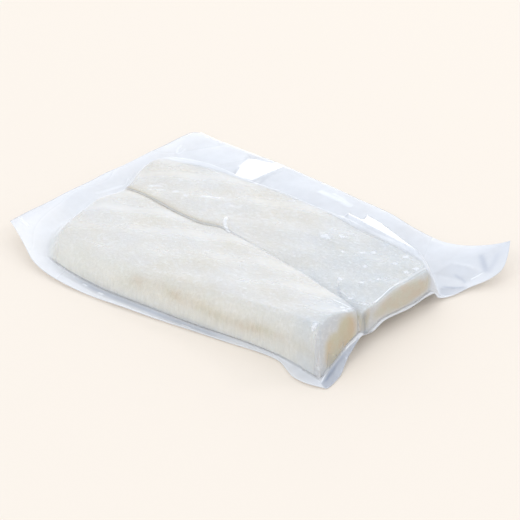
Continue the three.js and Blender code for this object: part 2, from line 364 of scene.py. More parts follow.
# Thin white shreds of skin left on the far loin's back half.
SHREDS = [
    [(-118, 8), (-111, 12), (-101, 17)],
    [(-112, 4), (-104, 8), (-96, 9)],
    [(-92, 10), (-84, 13), (-77, 12)],
    [(-78, 9), (-72, 10)],
    [(-66, 14), (-56, 20), (-44, 26)],
    [(-47, 21), (-40, 24)],
    [(-36, 17), (-24, 20)],
]

# Where the near loin's side is tan, as (x, z) along the middle of the band.
side_tan_height = curve([
    (-110, 6), (-70, 9), (-40, 12), (-6, 16.5), (38, 17), (74, 13), (110, 16), (143, 18),
])
# Darker spots on the near loin, as (x, y, radius, strength).
DARK_SPOTS = [(-97, -109, 4.0, 0.25)]
# Tan cores of the cut ends, as (y, z, half-width, half-height) over the cut.
NEAR_CORES = [(-86, 14, 14, 15), (-70, 21.5, 13, 15.5)]
FAR_CORES = [(-2, 20, 37, 8.5), (-48, 22, 8, 10)]

# Sides of the loins over the plan, the run over which each side rounds over, and the width of
# the strip at the near side in which the net's lines crowd together for the film's own rounding.
LOINS = {
    "near_loin": {
        "near": beside(near_foot, 0.75),
        "far": crease_line,
        "near_run": level(1.6),
        "near_rounding": near_side_run,
        "far_run": level(0.4),
        "cores": NEAR_CORES,
    },
    "far_loin": {
        "near": beside(crease_line, 0.1),
        "far": far_side,
        "near_run": level(0.8),
        "near_rounding": level(0.8),
        "far_run": curve([(-175, 9), (20, 9), (60, 16), (110, 18), (150, 12)]),
        "cores": FAR_CORES,
    },
}


# ---- Settings ---------------------------------------------------------------------------
def length_setting(name, description, default, low, high):
    """A length, given in millimetres."""
    return FloatProperty(
        name=name, description=description, default=default * MM, min=low * MM, max=high * MM,
        unit="LENGTH")


def colour_setting(name, description, default):
    return StringProperty(name=name, description=description, default=default)


def angle_setting(name, description, degrees):
    return FloatProperty(
        name=name, description=description, default=math.radians(degrees), subtype="ANGLE")


def power_setting(name, description, default):
    return FloatProperty(name=name, description=description, default=default, min=0, unit="POWER")


class SaltCodShape(bpy.types.PropertyGroup):
    """Sizes that the film, the loins and the salt are built from."""

    film_gap: length_setting(
        "Gap under the film", "Distance from the film down to the flesh that it is drawn onto",
        0.35, 0.1, 2)
    margin_gap: length_setting(
        "Margin thickness", "Thickness of the two layers of film where they lie together",
        0.3, 0.1, 2)
    crease_depth: length_setting(
        "Crease depth", "How far the film is drawn down between the two loins", 0.65, 0, 12)
    crease_half_width: length_setting(
        "Crease half-width", "Distance from the middle of the crease to where it begins",
        1.5, 1, 15)
    fold_scale: FloatProperty(
        name="Fold height", description="Scales the height of every fold in the film",
        default=1.0, min=0, max=3, subtype="FACTOR")
    ripple_height: length_setting(
        "Ripple height", "Height of the low waves in the film's margins", 0.5, 0, 2)
    relief: length_setting(
        "Flesh relief", "Depth of the dips between the flakes of the flesh", 0.28, 0, 2)
    grain_width: length_setting(
        "Salt grain width", "Usual width of a loose grain of salt", 0.7, 0.2, 2)
    grain_count: IntProperty(
        name="Loose grains", description="Number of fine grains scattered over the loins",
        default=420, min=0, max=2000)
    seed: IntProperty(
        name="Seed", description="Starts every random draw", default=7, min=0)


class SaltCodColours(bpy.types.PropertyGroup):
    """Colours as sRGB hex values."""

    film_milk: colour_setting(
        "Milky film", "Colour of the film where it scatters light", "#F8FBFF")
    # Colour of the painted shade: light through a steep or doubled fold, and shadow seen through
    # the film.
    film_painted_shade: colour_setting(
        "Folded film", "Colour of light that comes through a steep fold", "#93A3BE")
    flesh_cool: colour_setting(
        "Cool flesh", "Colour of the paler, bluish parts of the flesh", "#D8D6D2")
    flesh_warm: colour_setting(
        "Warm flesh", "Colour of the creamier parts of the flesh", "#D6D0C2")
    flesh_side: colour_setting("Side of the loin", "Peach tint of the loins' sides", "#DDDACF")
    flesh_tan: colour_setting(
        "Cut flesh", "Translucent tan of the cut ends and of the near loin's side", "#BCB290")
    flesh_amber: colour_setting("Amber flesh", "Browner patches within the tan", "#BFA67F")
    # Grey of the cut ends round their cores: the pale rim, with the cut ends' shade painted in.
    flesh_rim: colour_setting("Salted rim", "Pale salted rim round the cut ends", "#BABCBE")
    # Painted shade on the flesh: greyer over the near loin's side and cut end, towards the far
    # loin's cut end and along its far side.
    flesh_damp: colour_setting(
        "Damp flesh", "Greyer flesh where the film is drawn on wet", "#BCC4C9")
    salt: colour_setting("Salt", "Colour of the salt grains and of the salt bloom", "#F4F5F6")
    floor: colour_setting("Floor", "Colour of the floor", "#F5EBDE")
    sky: colour_setting("Surroundings", "Colour of the light from all round", "#F4F8FF")


class SaltCodStage(bpy.types.PropertyGroup):
    """Camera, floor and lights."""

    aim: FloatVectorProperty(
        name="Aim", description="Point that the camera looks at",
        default=(0.0310, -0.0193, 0.0120), subtype="TRANSLATION")
    azimuth: angle_setting(
        "Azimuth", "Camera's turn about the vertical, from in front of the near loin", 42)
    elevation: angle_setting("Elevation", "Camera's angle above the floor", 28.5)
    distance: FloatProperty(
        name="Distance", description="Distance from the camera to its aim",
        default=1.5557, min=0.1, unit="LENGTH")
    focal_length: FloatProperty(
        name="Focal length", description="Focal length in millimetres on a 36 mm sensor",
        default=144, min=10)
    floor_size: FloatProperty(
        name="Floor size", description="Side of the square floor", default=8, min=1,
        unit="LENGTH")
    sky_strength: FloatProperty(
        name="Surroundings", description="Strength of the light from all round",
        default=0.97, min=0)
    key_power: power_setting("Key light", "Power of the broad softbox behind the pouch", 40)
    fill_power: power_setting(
        "Fill light", "Power of the broad softbox in front of the pouch", 60)
    window_power: power_setting(
        "Window light", "Power of the low window that the film mirrors", 5.5)
    strip_power: power_setting(
        "Strip light", "Power of the small light that edges facing it mirror", 5.5)


# ---- The pouch's surfaces, in millimetres over the plan --------------------------------------
class PouchForm:
    """Heights of the film over the plan, from the shape settings."""

    half_width = 130.5
    squareness = {"side": 2.2, "cut": 2.5}
    back_run = 14
    crown = {"near": 3, "far": 2.5}
    unevenness = {"height": 0.7, "length_x": 83, "length_y": 37}
    sled = {"start": 60, "power": 2.2}
    back_rise = {"near_end": 12, "far_end": 2.5, "corner_reach": 44, "middle_reach": 13}
    back_corner = {"y": -104, "width": 70}
    tip = {"x": 163, "y": 113, "height": 21, "reach": 62, "power": 1.8}
    ripple = {"base": 1.65, "length_x": 61, "length_y": 47, "slant": 0.3, "near_run": 10,
              "far_run": 20, "fine_x": 17, "fine_y": 23, "fine_share": 0.15}
    bearings = [(-46, -78), (46, -82), (-104, 46), (46, 42)]
    bearing = {"clearance": 0.6, "flat_radius": 16, "reach": 48}
    step_half_width = 2.0
    groove_power = 1.7
    steepest = 12
    # A nearly level panel of the far margin that leans a little away from the key side.
    panel = {"corners": [(-113, 126), (-94, 82.5), (-70, 83), (-74, 128)], "lean": 0.1,
             "soft": 4.0, "middle": (-88, 108), "away": (-0.669, 0.743), "rise": 1.9,
             "unevenness": 0.5}

    def __init__(self, shape):
        self.gap = shape.film_gap / MM
        self.margin = shape.margin_gap / MM
        self.crease_depth = shape.crease_depth / MM
        self.crease_half_width = shape.crease_half_width / MM
        self.ripple_height = shape.ripple_height / MM
        self.fold_scale = shape.fold_scale
        self.relief = shape.relief / MM
        self.seed = shape.seed

    def raised_back_edge(self, x, y):
        along = clamp01((y - self.back_corner["y"]) / (self.half_width - self.back_corner["y"]))
        from_corner = ramp(y, self.back_corner["y"], self.back_corner["width"])
        reach = mix(self.back_rise["corner_reach"], self.back_rise["middle_reach"], from_corner)
        height = mix(self.back_rise["near_end"], self.back_rise["far_end"], along)
        return height * bell(x - back_edge(y), reach)

    def curled_tip(self, x, y):
        distance = np.hypot(x - self.tip["x"], y - self.tip["y"])
        return self.tip["height"] * clamp01(1 - distance / self.tip["reach"]) ** self.tip["power"]

    def raised_front(self, x, y):
        cut = cut_foot(y)
        inside = clamp01((x - self.sled["start"]) / (cut - self.sled["start"]))
        beyond = clamp01((x - cut) / (front_edge(y) - cut))
        return mix(cut_foot_height(y) * inside ** self.sled["power"], front_edge_height(y), beyond)

    def outside_loins(self, x, y):
        """1 in the margins, 0 under the loins."""
        near = ramp(near_foot(x), y, self.ripple["near_run"])
        far = ramp(y, far_foot(x), self.ripple["far_run"])
        back = ramp(back_foot(y), x, self.ripple["far_run"])
        return np.maximum(np.maximum(near, far), back)

    def margin_ripple(self, x, y):
        ripple = self.ripple
        waves = wave(x + ripple["slant"] * y, ripple["length_x"]) + wave(y, ripple["length_y"])
        draw = self.seed + DRAWS["margins"]
        fine = lattice_noise(x, y, ripple["fine_x"], ripple["fine_y"], draw)
        height = ripple["base"] + waves / 2 + ripple["fine_share"] * fine
        return self.outside_loins(x, y) * (self.ripple_height * height)

    def between_bearings(self, x, y):
        nearest = np.full(np.shape(x), np.inf)
        for place_x, place_y in self.bearings:
            nearest = np.minimum(nearest, np.hypot(x - place_x, y - place_y))
        run = self.bearing["reach"] - self.bearing["flat_radius"]
        return self.bearing["clearance"] * ramp(nearest, self.bearing["flat_radius"], run)

    def leaning_panel(self, x, y):
        """A flat panel in the far margin, set off by soft creases."""
        share = within(x, y, self.panel["corners"], self.panel["soft"])
        middle = self.panel["middle"]
        away = self.panel["away"]
        outward = (x - middle[0]) * away[0] + (y - middle[1]) * away[1]
        return share, self.panel["rise"] - self.panel["lean"] * outward

    def underside(self, x, y):
        height = self.raised_back_edge(x, y) + self.curled_tip(x, y) + self.raised_front(x, y)
        base = np.maximum(height, 0) + self.between_bearings(x, y) + self.margin_ripple(x, y)
        share, panel = self.leaning_panel(x, y)
        return np.maximum(mix(base, panel + self.panel["unevenness"] * base, share), 0)

    def fullness(self, x, y):
        """How much of the loins' height the film reaches, from 0 to 1."""
        side = self.squareness["side"]
        near = rounded_wall(y - near_foot(x), near_side_run(x), side)
        far = smoothstep((far_foot(x) + tent_reach(x) - y) / tent_run(x))
        cut = rounded_wall(cut_foot(y) - x, cut_run(y), self.squareness["cut"])
        back = ramp(x, back_foot(y), self.back_run)
        return near * far * cut * back

    def loin_top(self, x, y):
        """The loins' upper surface as the film lies on it, with the groove between the two."""
        middle = crease_line(x)
        across_near = clamp01((y - near_foot(x)) / (middle - near_foot(x)))
        across_far = clamp01((y - middle) / (far_foot(x) - middle))
        near = mix(near_shoulder_height(x), near_crease_height(x), across_near)
        near = near + self.crown["near"] * arch(across_near)
        far = mix(far_crease_height(x), far_shoulder_height(x), across_far)
        far = far + self.crown["far"] * arch(across_far)
        far_part = smoothstep((y - middle) / self.step_half_width + 0.5)
        closeness = clamp01(1 - np.abs(y - middle) / self.crease_half_width)
        groove = self.crease_depth * closeness ** self.groove_power
        uneven = wave(x, self.unevenness["length_x"]) * wave(y, self.unevenness["length_y"])
        return mix(near, far, far_part) - groove + self.unevenness["height"] * uneven

    def film_top(self, x, y):
        """The upper film before its folds."""
        sheet = self.underside(x, y) + self.margin
        return sheet + np.maximum(self.loin_top(x, y) - sheet, 0) * self.fullness(x, y)

    def square_drop(self, x, y, distance):
        """How far straight down a point is that lies this far in from the film, square to it."""
        step = 0.05
        along_x = (self.film_top(x + step, y) - self.film_top(x - step, y)) / (2 * step)
        along_y = (self.film_top(x, y + step) - self.film_top(x, y - step)) / (2 * step)
        return distance * np.minimum(np.sqrt(1 + along_x ** 2 + along_y ** 2), self.steepest)


# ---- Nets over the plan -----------------------------------------------------------------
LOIN_INSET = {"back": 2.5, "cut": 0.75}
LOIN_RUNS = {"back": 7.0, "cut": 1.6}
LOIN_SQUARENESS = 2.4
# A loin's two skins meet at this height over its underside, or lower where it is thin: at this
# share of its thickness.
LOIN_EDGE = {"height": 1.2, "share": 0.35}
LOIN_UNDERCUT = 1.0         # how much further in a loin's lower edges are rounded
THINNEST_LOIN = 0.05
NO_FLESH = -99.0            # height that stands for a place without flesh


def even_steps(share, squareness):
    return share


def rising_wall(share, squareness):
    """Crowds steps to a wall's foot, so that they are even in height up the wall."""
    return 1 - np.cos(share * np.pi / 2) ** (2 / squareness)


def falling_wall(share, squareness):
    """The same for a wall that is met at its top first."""
    return np.sin(share * np.pi / 2) ** (2 / squareness)


def stretch(start, end, steps, spacing=even_steps, squareness=LOIN_SQUARENESS):
    """Lines from one plan line towards the next, each as (start, end, share of the way)."""
    return [(start, end, float(spacing(i / steps, squareness))) for i in range(steps)]


def last_line(line):
    return [(line, line, 0.0)]


def crossings(columns, rows):
    """Plan positions where each column crosses each row, found by repeated substitution."""
    x = np.zeros((len(columns), len(rows)))
    y = np.zeros_like(x)
    for _ in range(12):
        for i, (start, end, share) in enumerate(columns):
            x[i] = mix(start(y[i]), end(y[i]), share)
        for j, (start, end, share) in enumerate(rows):
            y[:, j] = mix(start(x[:, j]), end(x[:, j]), share)
    return x, y


def film_net(form):
    back_top = beside(back_foot, form.back_run)
    columns = (
        stretch(back_edge, back_foot, 34)
        + stretch(back_foot, back_top, 18)
        + stretch(back_top, cut_top, 236)
        + stretch(cut_top, cut_foot, 26, falling_wall, form.squareness["cut"])
        + stretch(cut_foot, front_edge, 22)
        + last_line(front_edge)
    )
    crease_near = beside(crease_line, -form.crease_half_width)
    crease_far = beside(crease_line, form.crease_half_width)

    def near_top(x):
        return near_foot(x) + near_side_run(x)

    def tent_foot(x):
        return far_foot(x) + tent_reach(x)

    def tent_top(x):
        return far_foot(x) + tent_reach(x) - tent_run(x)

    rows = (
        stretch(near_edge, near_foot, 16)
        + stretch(near_foot, near_top, 20, rising_wall)
        + stretch(near_top, crease_near, 56)
        + stretch(crease_near, crease_line, 6)
        + stretch(crease_line, crease_far, 6)
        + stretch(crease_far, tent_top, 46)
        + stretch(tent_top, tent_foot, 28)
        + stretch(tent_foot, far_edge, 40)
        + last_line(far_edge)
    )
    return crossings(columns, rows)


def cut_top(y):
    """Where the cut ends' rounding begins."""
    return cut_foot(y) - cut_run(y)


def loin_net(form, plan):
    back = beside(back_foot, LOIN_INSET["back"])
    cut = beside(cut_foot, -LOIN_INSET["cut"])
    back_top = beside(back, LOIN_RUNS["back"])

    def near_top(x):
        return plan["near"](x) + plan["near_rounding"](x)

    def far_top(x):
        return plan["far"](x) - plan["far_run"](x)

    columns = (
        stretch(back, back_top, 16)
        + stretch(back_top, cut_top, 170)
        + stretch(cut_top, cut, 30, falling_wall, form.squareness["cut"])
        + last_line(cut)
    )
    rows = (
        stretch(plan["near"], near_top, 24, rising_wall)
        + stretch(near_top, far_top, 64)
        + stretch(far_top, plan["far"], 16, falling_wall)
        + last_line(plan["far"])
    )
    return crossings(columns, rows)


def loin_fullness(plan, x, y, further=0.0):
    """Height share of a loin's own rounded walls."""
    cut_inset = cut_foot(y) - LOIN_INSET["cut"] - x
    back_inset = x - back_foot(y) - LOIN_INSET["back"]
    near = rounded_wall(y - plan["near"](x), plan["near_run"](x) + further, LOIN_SQUARENESS)
    far = rounded_wall(plan["far"](x) - y, plan["far_run"](x) + further, LOIN_SQUARENESS)
    cut = rounded_wall(cut_inset, LOIN_RUNS["cut"] + further, LOIN_SQUARENESS)
    return near * far * cut * smoothstep(back_inset / LOIN_RUNS["back"])


def loin_skins(form, plan, x, y):
    """Heights of a loin's upper and lower skin, before its relief."""
    under = form.underside(x, y) + form.gap
    room = form.loin_top(x, y) - under
    meeting = under + np.minimum(LOIN_EDGE["height"], LOIN_EDGE["share"] * room)
    highest = form.film_top(x, y) - form.square_drop(x, y, form.gap)
    top = mix(meeting, np.maximum(highest, meeting), loin_fullness(plan, x, y))
    bottom = mix(meeting, under, loin_fullness(plan, x, y, LOIN_UNDERCUT))
    return np.minimum(top, highest), bottom


def flesh_height(form, x, y):
    """Height of the flesh under the film, or far below it where there is none."""
    height = np.full(np.shape(x), NO_FLESH)
    for plan in LOINS.values():
        top = loin_skins(form, plan, x, y)[0]
        height = np.maximum(height, np.where(loin_fullness(plan, x, y) > 0, top, NO_FLESH))
    return height


# ---- Meshes -----------------------------------------------------------------------------
def grid_quads(index):
    """Quads of a grid of point numbers, facing the side from which the grid runs anticlockwise."""
    corners = [index[:-1, :-1], index[1:, :-1], index[1:, 1:], index[:-1, 1:]]
    return np.stack(corners, axis=-1).reshape(-1, 4)


def closed_shell(name, upper, lower):
    """Mesh object in metres from an upper and a lower grid of points, joined round their rim."""
    columns, rows, _ = upper.shape
    index = np.arange(columns * rows).reshape(columns, rows)
    count = columns * rows
    rim = np.concatenate([
        index[:-1, 0], index[-1, :-1], index[:0:-1, -1], index[0, :0:-1],
    ])
    onward = np.roll(rim, -1)
    sides = np.stack([rim, rim + count, onward + count, onward], axis=-1)
    faces = np.concatenate([grid_quads(index), grid_quads(index)[:, ::-1] + count, sides])
    points = np.concatenate([upper.reshape(-1, 3), lower.reshape(-1, 3)])
    return mesh_object(name, points, faces)


def add_object(name, data):
    item = bpy.data.objects.new(name, data)
    bpy.context.scene.collection.objects.link(item)
    return item


def mesh_object(name, points, faces, smooth=True):
    mesh = bpy.data.meshes.new(name)
    mesh.from_pydata((fitted_to_frame(points) * MM).tolist(), [], faces.tolist())
    mesh.validate()
    if smooth:
        mesh.shade_smooth()
    return add_object(name, mesh)


def fitted_to_frame(points):
    """Points moved and stretched in plan so that the film's outline fills the frame's box."""
    lowest, highest = (np.array(corner)[:2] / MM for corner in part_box(POUCH_NODE))
    scale = (highest - lowest) / (OUTLINE_HIGH - OUTLINE_LOW)
    fitted = points.copy()
    fitted[..., :2] = lowest + (points[..., :2] - OUTLINE_LOW) * scale
    return fitted


def paint(piece, name, values):
    """Store one number for each vertex, for the material to read."""
    attribute = piece.data.attributes.new(name, "FLOAT", "POINT")
    attribute.data.foreach_set("value", np.asarray(values, np.float32).ravel())


def grid_normals(points):
    """Unit normals of a grid of points."""
    along = np.gradient(points, axis=0)
    across = np.gradient(points, axis=1)
    normals = np.cross(along, across)
    return normals / np.maximum(np.linalg.norm(normals, axis=-1, keepdims=True), 1e-9)


def near_route(points, route):
    """Distance to a route over the plan or in space, and the share of the way along it."""
    route = np.array(route, float)
    points = points[..., :route.shape[1]]
    lengths = np.linalg.norm(np.diff(route, axis=0), axis=1)
    before = np.concatenate([[0], np.cumsum(lengths)])
    distance = np.full(points.shape[:-1], np.inf)
    along = np.zeros(points.shape[:-1])
    for start, end, length, done in zip(route[:-1], route[1:], lengths, before):
        direction = (end - start) / length
        reach = np.clip((points - start) @ direction, 0, length)
        nearest = start + reach[..., None] * direction
        here = np.linalg.norm(points - nearest, axis=-1)
        closer = here < distance
        distance = np.where(closer, here, distance)
        along = np.where(closer, (done + reach) / before[-1], along)
    return distance, along


# ---- Film -------------------------------------------------------------------------------
# How milky the film is in each place, from 0 to 1.
MILK = {"margin": 0.6, "far_margin": 0.68, "drawn": 0.12, "front": 0.02, "free": 0.5,
        "back": 0.6, "tip": 0.76, "lump": 0.5}
# Painted shade in each place, from 0 to 1: how much the film darkens and tints what lies behind it.
MARGIN_PAINTED_SHADE = {"near": 0.01, "far": 0.05, "back_edge": 0.1, "free": 0.09}
FAR_MARGIN_RUN = 12         # run over which the near margin's look turns to the far margin's
MILKY_FRONT = {"start": 60, "run": 60}
LOINS_FULLNESS = 1.6        # the film counts as over the loins from 1 / 1.6 of its full height
BACK_EDGE_REACH = 12
BACK_VEIL = {"inwards": 10, "outwards": 30}
DULL_BACK = {"inset": 4, "reach": 14}
# Less milk at the raised back corner paints shade over the light that it catches.
BACK_CORNER = {"x": -150, "y": -95, "reach": 40, "less_milk_painted_shade": 0.16}
# Roughness of the sheen: film that clings to flesh takes its grain, and the tip is scuffed.
SHEEN_BLUR = {"margin": 0.22, "clinging": 0.62, "slack": 0.5, "leaf": 0.05, "tip": 0.45,
              "panel": 0.13, "ridge": 0.1}
SHARP_RIDGE = (0.15, 0.4)   # lift of the film at which a fold's sheen starts and ends sharpening
CLINGS_WITHIN = 1.6         # film further than this from the flesh is free of it
FAR_RELEASE = {"inset": 3, "run": 7}    # where the film leaves the flesh at the far side
WALL_ZONE = (-0.3, 2.5)     # from the foot of a steep wall, outwards and inwards
SCUFFED_TIP = {"start": 120, "slant": 0.5, "run": 18, "y": 44}
# Painted shade that deepens towards the curled tip, and the share of the margin's painted shade
# that the tip loses.
TIP_PAINTED_SHADE = {"reach": 62, "share": 0.2, "less_margin": 0.7}
MILKY_FOLD_HIDES = 0.8      # share of its own shade that a milky fold hides
FLAT_LIFT = 0.3             # lift of the film by which it no longer takes the flesh's grain
LEAST_MARGIN = 0.5          # share of the margins' thickness that is left everywhere
# Fine unevenness of film drawn over flesh: heights, and lengths along and across the loins.
WRINKLES = {"fine_wrinkles": (0.02, 3.2, 2.4), "broad_wrinkles": (0.05, 11, 7)}
# The film's tent over a lump of salt: radius, reach and height as shares of the lump's width,
# and the unevenness of its edge.
LUMP = {"radius": 0.5, "reach": 0.6, "height": 0.03, "squash": 1.2, "overhang": 1.5,
        "ragged": 0.7, "ragged_x": 1.7, "ragged_y": 1.5, "draw": 21}
TIP_SHEEN = 0.3             # share of its sheen that the scuffed tip keeps


def pulled_in(x, y):
    """Points that lie over a steep wall moved in to where the flesh is whole."""
    from_cut = cut_foot(y) - x
    over_cut = (from_cut > WALL_ZONE[0]) & (from_cut < WALL_ZONE[1])
    from_near = y - near_foot(x)
    over_side = (from_near > WALL_ZONE[0]) & (from_near < WALL_ZONE[1])
    return (np.where(over_cut, cut_foot(y) - WALL_ZONE[1], x),
            np.where(over_side, near_foot(x) + WALL_ZONE[1], y))


def folds_in(points):
    """Height, milkiness and painted shade that the folds give the film at each point."""
    height = np.zeros(points.shape[:-1])
    milk = np.zeros_like(height)
    shade = np.zeros_like(height)
    for fold in FOLDS:
        distance, along = near_route(points, fold.route)
        spread = fading_ends(along, 5) * bell(distance, fold.half_width)
        lift = fold.height * spread
        height = np.where(np.abs(lift) > np.abs(height), lift, height)
        milk = np.maximum(milk, fold.milk * spread)
        shade = np.maximum(shade, fold.shade * spread)
    return height, milk, shade


def with_facets(x, y, milk, shade):
    """Milkiness and painted shade with the flat panels of slack film painted in."""
    for facet in FACETS:
        share = within(x, y, facet.outline, facet.soft)
        milk = mix(milk, facet.milk, share)
        shade = mix(shade, facet.shade, share)
    return milk, shade


def with_taut_fold(x, y, base):
    """The film lifted clear of the flesh by the taut fold, and where it is a flat leaf."""
    start = np.array(TAUT_FOLD["start"], float)
    end = np.array(TAUT_FOLD["end"], float)
    length = math.hypot(*(end - start)[:2])
    along_x, along_y = (end - start)[:2] / length
    along = ((x - start[0]) * along_x + (y - start[1]) * along_y) / length
    outward = (y - start[1]) * along_x - (x - start[0]) * along_y
    lean = np.where(outward > 0, -TAUT_FOLD["lean"], TAUT_FOLD["apron_lean"])
    lifted = mix(start[2], end[2], along) + lean * outward
    flat = within(x, y, APRON, TAUT_FOLD["soft"])
    raised = flat
    for outline in LEAVES:
        flat = np.maximum(flat, within(x, y, outline, TAUT_FOLD["soft"]))
        down_flank = clamp01(1 + inside_outline(x, y, outline) / TAUT_FOLD["flank"])
        raised = np.maximum(raised, down_flank ** TAUT_FOLD["flank_power"])
    return np.maximum(base, mix(base, lifted, raised)), flat * smoothstep(outward + 0.5)


def salt_bumps(x, y):
    """Small tents of film over the lumps of salt, from 0 to 1, and their height."""
    share = np.zeros_like(x)
    height = np.zeros_like(x)
    ragged = lattice_noise(x, y, LUMP["ragged_x"], LUMP["ragged_y"], LUMP["draw"])
    for lump_x, lump_y, width in SALT_LUMPS:
        distance = np.hypot(x - lump_x, LUMP["squash"] * (y - lump_y))
        from_edge = LUMP["overhang"] - distance / (LUMP["radius"] * width)
        share = np.maximum(share, smoothstep(from_edge + LUMP["ragged"] * ragged))
        tent = LUMP["height"] * width * bell(distance, LUMP["reach"] * width)
        height = np.maximum(height, tent)
    return share, height


def film_wrinkles(form, x, y):
    return sum(
        height * lattice_noise(x, y, length_x, length_y, form.seed + DRAWS[name])
        for name, (height, length_x, length_y) in WRINKLES.items())


def clinging_share(form, x, y, height):
    """1 where the film lies on the flesh, 0 where it is free of it."""
    inner = pulled_in(x, y)
    room = (height - flesh_height(form, *inner)) / form.square_drop(*inner, 1.0)
    clinging = 1 - ramp(room, form.gap, CLINGS_WITHIN)
    return clinging * ramp(far_side(x) - FAR_RELEASE["inset"], y, FAR_RELEASE["run"])


# How far each point of the film belongs to each kind of place, from 0 to 1, and its distance in
# from the loins' back ends.
Zones = namedtuple("Zones", "clinging leaf over_loins far_margin tip from_back")


def film_zones(form, x, y, clinging, leaf):
    slanted = x + SCUFFED_TIP["slant"] * (y - SCUFFED_TIP["y"])
    tip = ramp(slanted, SCUFFED_TIP["start"], SCUFFED_TIP["run"]) * (y > SCUFFED_TIP["y"])
    over_loins = smoothstep(form.fullness(x, y) * LOINS_FULLNESS)
    far_margin = ramp(y, far_foot(x), FAR_MARGIN_RUN)
    return Zones(clinging, leaf, over_loins, far_margin, tip, x - back_foot(y))


def film_milk(zones, x, y):
    """How milky the film is, before its folds."""
    margin = mix(MILK["margin"], MILK["far_margin"], zones.far_margin)
    from_corner = np.hypot(x - BACK_CORNER["x"], y - BACK_CORNER["y"])
    margin = margin - BACK_CORNER["less_milk_painted_shade"] * bell(from_corner, BACK_CORNER["reach"])
    margin = mix(margin, MILK["tip"], zones.tip)
    slack = mix(margin, MILK["free"], zones.over_loins)
    front = ramp(x, MILKY_FRONT["start"], MILKY_FRONT["run"]) * (y > crease_line(x))
    drawn = MILK["drawn"] + MILK["front"] * front
    veil = np.where(zones.from_back > 0, BACK_VEIL["inwards"], BACK_VEIL["outwards"])
    return mix(mix(slack, drawn, zones.clinging), MILK["back"], bell(zones.from_back, veil))


def film_painted_shade(zones, x, y):
    """The film's painted shade before its folds: darker in the far margin, at the back edge and
    where the film hangs free of the flesh, lighter in the tip.
    """
    shade = mix(MARGIN_PAINTED_SHADE["near"], MARGIN_PAINTED_SHADE["far"], zones.far_margin)
    at_back_edge = bell(x - back_edge(y), BACK_EDGE_REACH) * (1 - zones.far_margin)
    shade = shade + MARGIN_PAINTED_SHADE["back_edge"] * at_back_edge
    free = zones.over_loins * (1 - zones.leaf)
    shade = mix(shade, MARGIN_PAINTED_SHADE["free"], free) * (1 - zones.clinging)
    return shade * (1 - TIP_PAINTED_SHADE["less_margin"] * zones.tip)


def sheen_blur(form, zones, x, y, lift):
    """Roughness of the film's sheen."""
    near_back = bell(zones.from_back - DULL_BACK["inset"], DULL_BACK["reach"])
    dull = np.maximum(zones.over_loins, near_back)
    blur = mix(SHEEN_BLUR["margin"], SHEEN_BLUR["slack"], dull)
    flat = 1 - clamp01(np.abs(lift) / FLAT_LIFT)
    blur = mix(blur, SHEEN_BLUR["clinging"], zones.clinging * flat)
    sharp = ramp(np.abs(lift), SHARP_RIDGE[0], SHARP_RIDGE[1] - SHARP_RIDGE[0])
    blur = mix(blur, SHEEN_BLUR["ridge"], sharp)
    blur = mix(blur, SHEEN_BLUR["leaf"], zones.leaf)
    blur = mix(blur, np.maximum(blur, SHEEN_BLUR["tip"]), zones.tip)
    return mix(blur, SHEEN_BLUR["panel"], form.leaning_panel(x, y)[0])


def build_film(form):
    x, y = film_net(form)
    height, leaf = with_taut_fold(x, y, form.film_top(x, y))
    clinging = clinging_share(form, x, y, height)
    upper = np.stack([x, y, height + clinging * film_wrinkles(form, x, y)], axis=-1)
    fold_height, fold_milk, fold_painted_shade = folds_in(upper)
    lump_share, lump_height = salt_bumps(x, y)
    lift = form.fold_scale * fold_height + lump_height
    upper = upper + grid_normals(upper) * lift[..., None]
    lower = np.stack([x, y, form.underside(x, y)], axis=-1)
    upper[..., 2] = np.maximum(upper[..., 2], lower[..., 2] + LEAST_MARGIN * form.margin)
    piece = closed_shell("pouch_film", upper, lower)

    zones = film_zones(form, x, y, clinging, leaf)
    milk, shade = with_facets(x, y, film_milk(zones, x, y), film_painted_shade(zones, x, y))
    milk = np.maximum(milk, np.maximum(fold_milk, MILK["lump"] * lump_share))
    # Painted shade that deepens towards the curled tip, and the folds' painted shade, are added; a
    # milky fold hides most of its own.
    tip_reach = np.hypot(x - form.tip["x"], y - form.tip["y"])
    painted_tip_shade = TIP_PAINTED_SHADE["share"] * smoothstep(1 - tip_reach / TIP_PAINTED_SHADE["reach"])
    shade = 1 - (1 - shade) * (1 - painted_tip_shade) * (1 - fold_painted_shade)
    shade = shade * (1 - MILKY_FOLD_HIDES * fold_milk)
    # Each is painted on the upper skin, and the lower skin is even.
    paint_skins(piece, "milk", milk, MILK["margin"])
    paint_skins(piece, "shade", shade, 0.0)
    paint_skins(piece, "sheen_blur", sheen_blur(form, zones, x, y, lift), SHEEN_BLUR["margin"])
    paint_skins(piece, "sheen", mix(1.0, TIP_SHEEN, zones.tip), 1.0)
    return piece


def paint_skins(piece, name, upper, lower):
    paint(piece, name, np.stack([upper, np.full(upper.shape, lower)]))


# ---- Loins ------------------------------------------------------------------------------
# Dips in the flesh: their share of its relief, their lengths along and across the loins, and
# how far they slant.
RELIEF = {"flakes": (0.35, 9, 5, 0.5), "fibres": (0.25, 5, 1.7, 0.25)}
CORE = {"ragged": 0.16, "size_y": 7, "size_z": 6, "full": 0.6, "fade": 0.7}
CORE_STRENGTH = {"near_loin": 1.0, "far_loin": 0.85}
CUT_FACE = {"share": 0.8, "run": 1.5}           # how much of a cut end's rounding is cut flesh
# Start and run of the rise of what changes along the loins.
ALONG = {
    "back_part": (-140, 12), "back_part_ends": (-25, 20), "side_tan": (-42, 45),
    "side_tan_weakens": (100, 40), "hollows_end": (90, 60), "side_painted_shade": (60, 80),
    "end_painted_shade": (112, 34), "slit": (141, 10), "far_painted_shade": (0, 120),
}
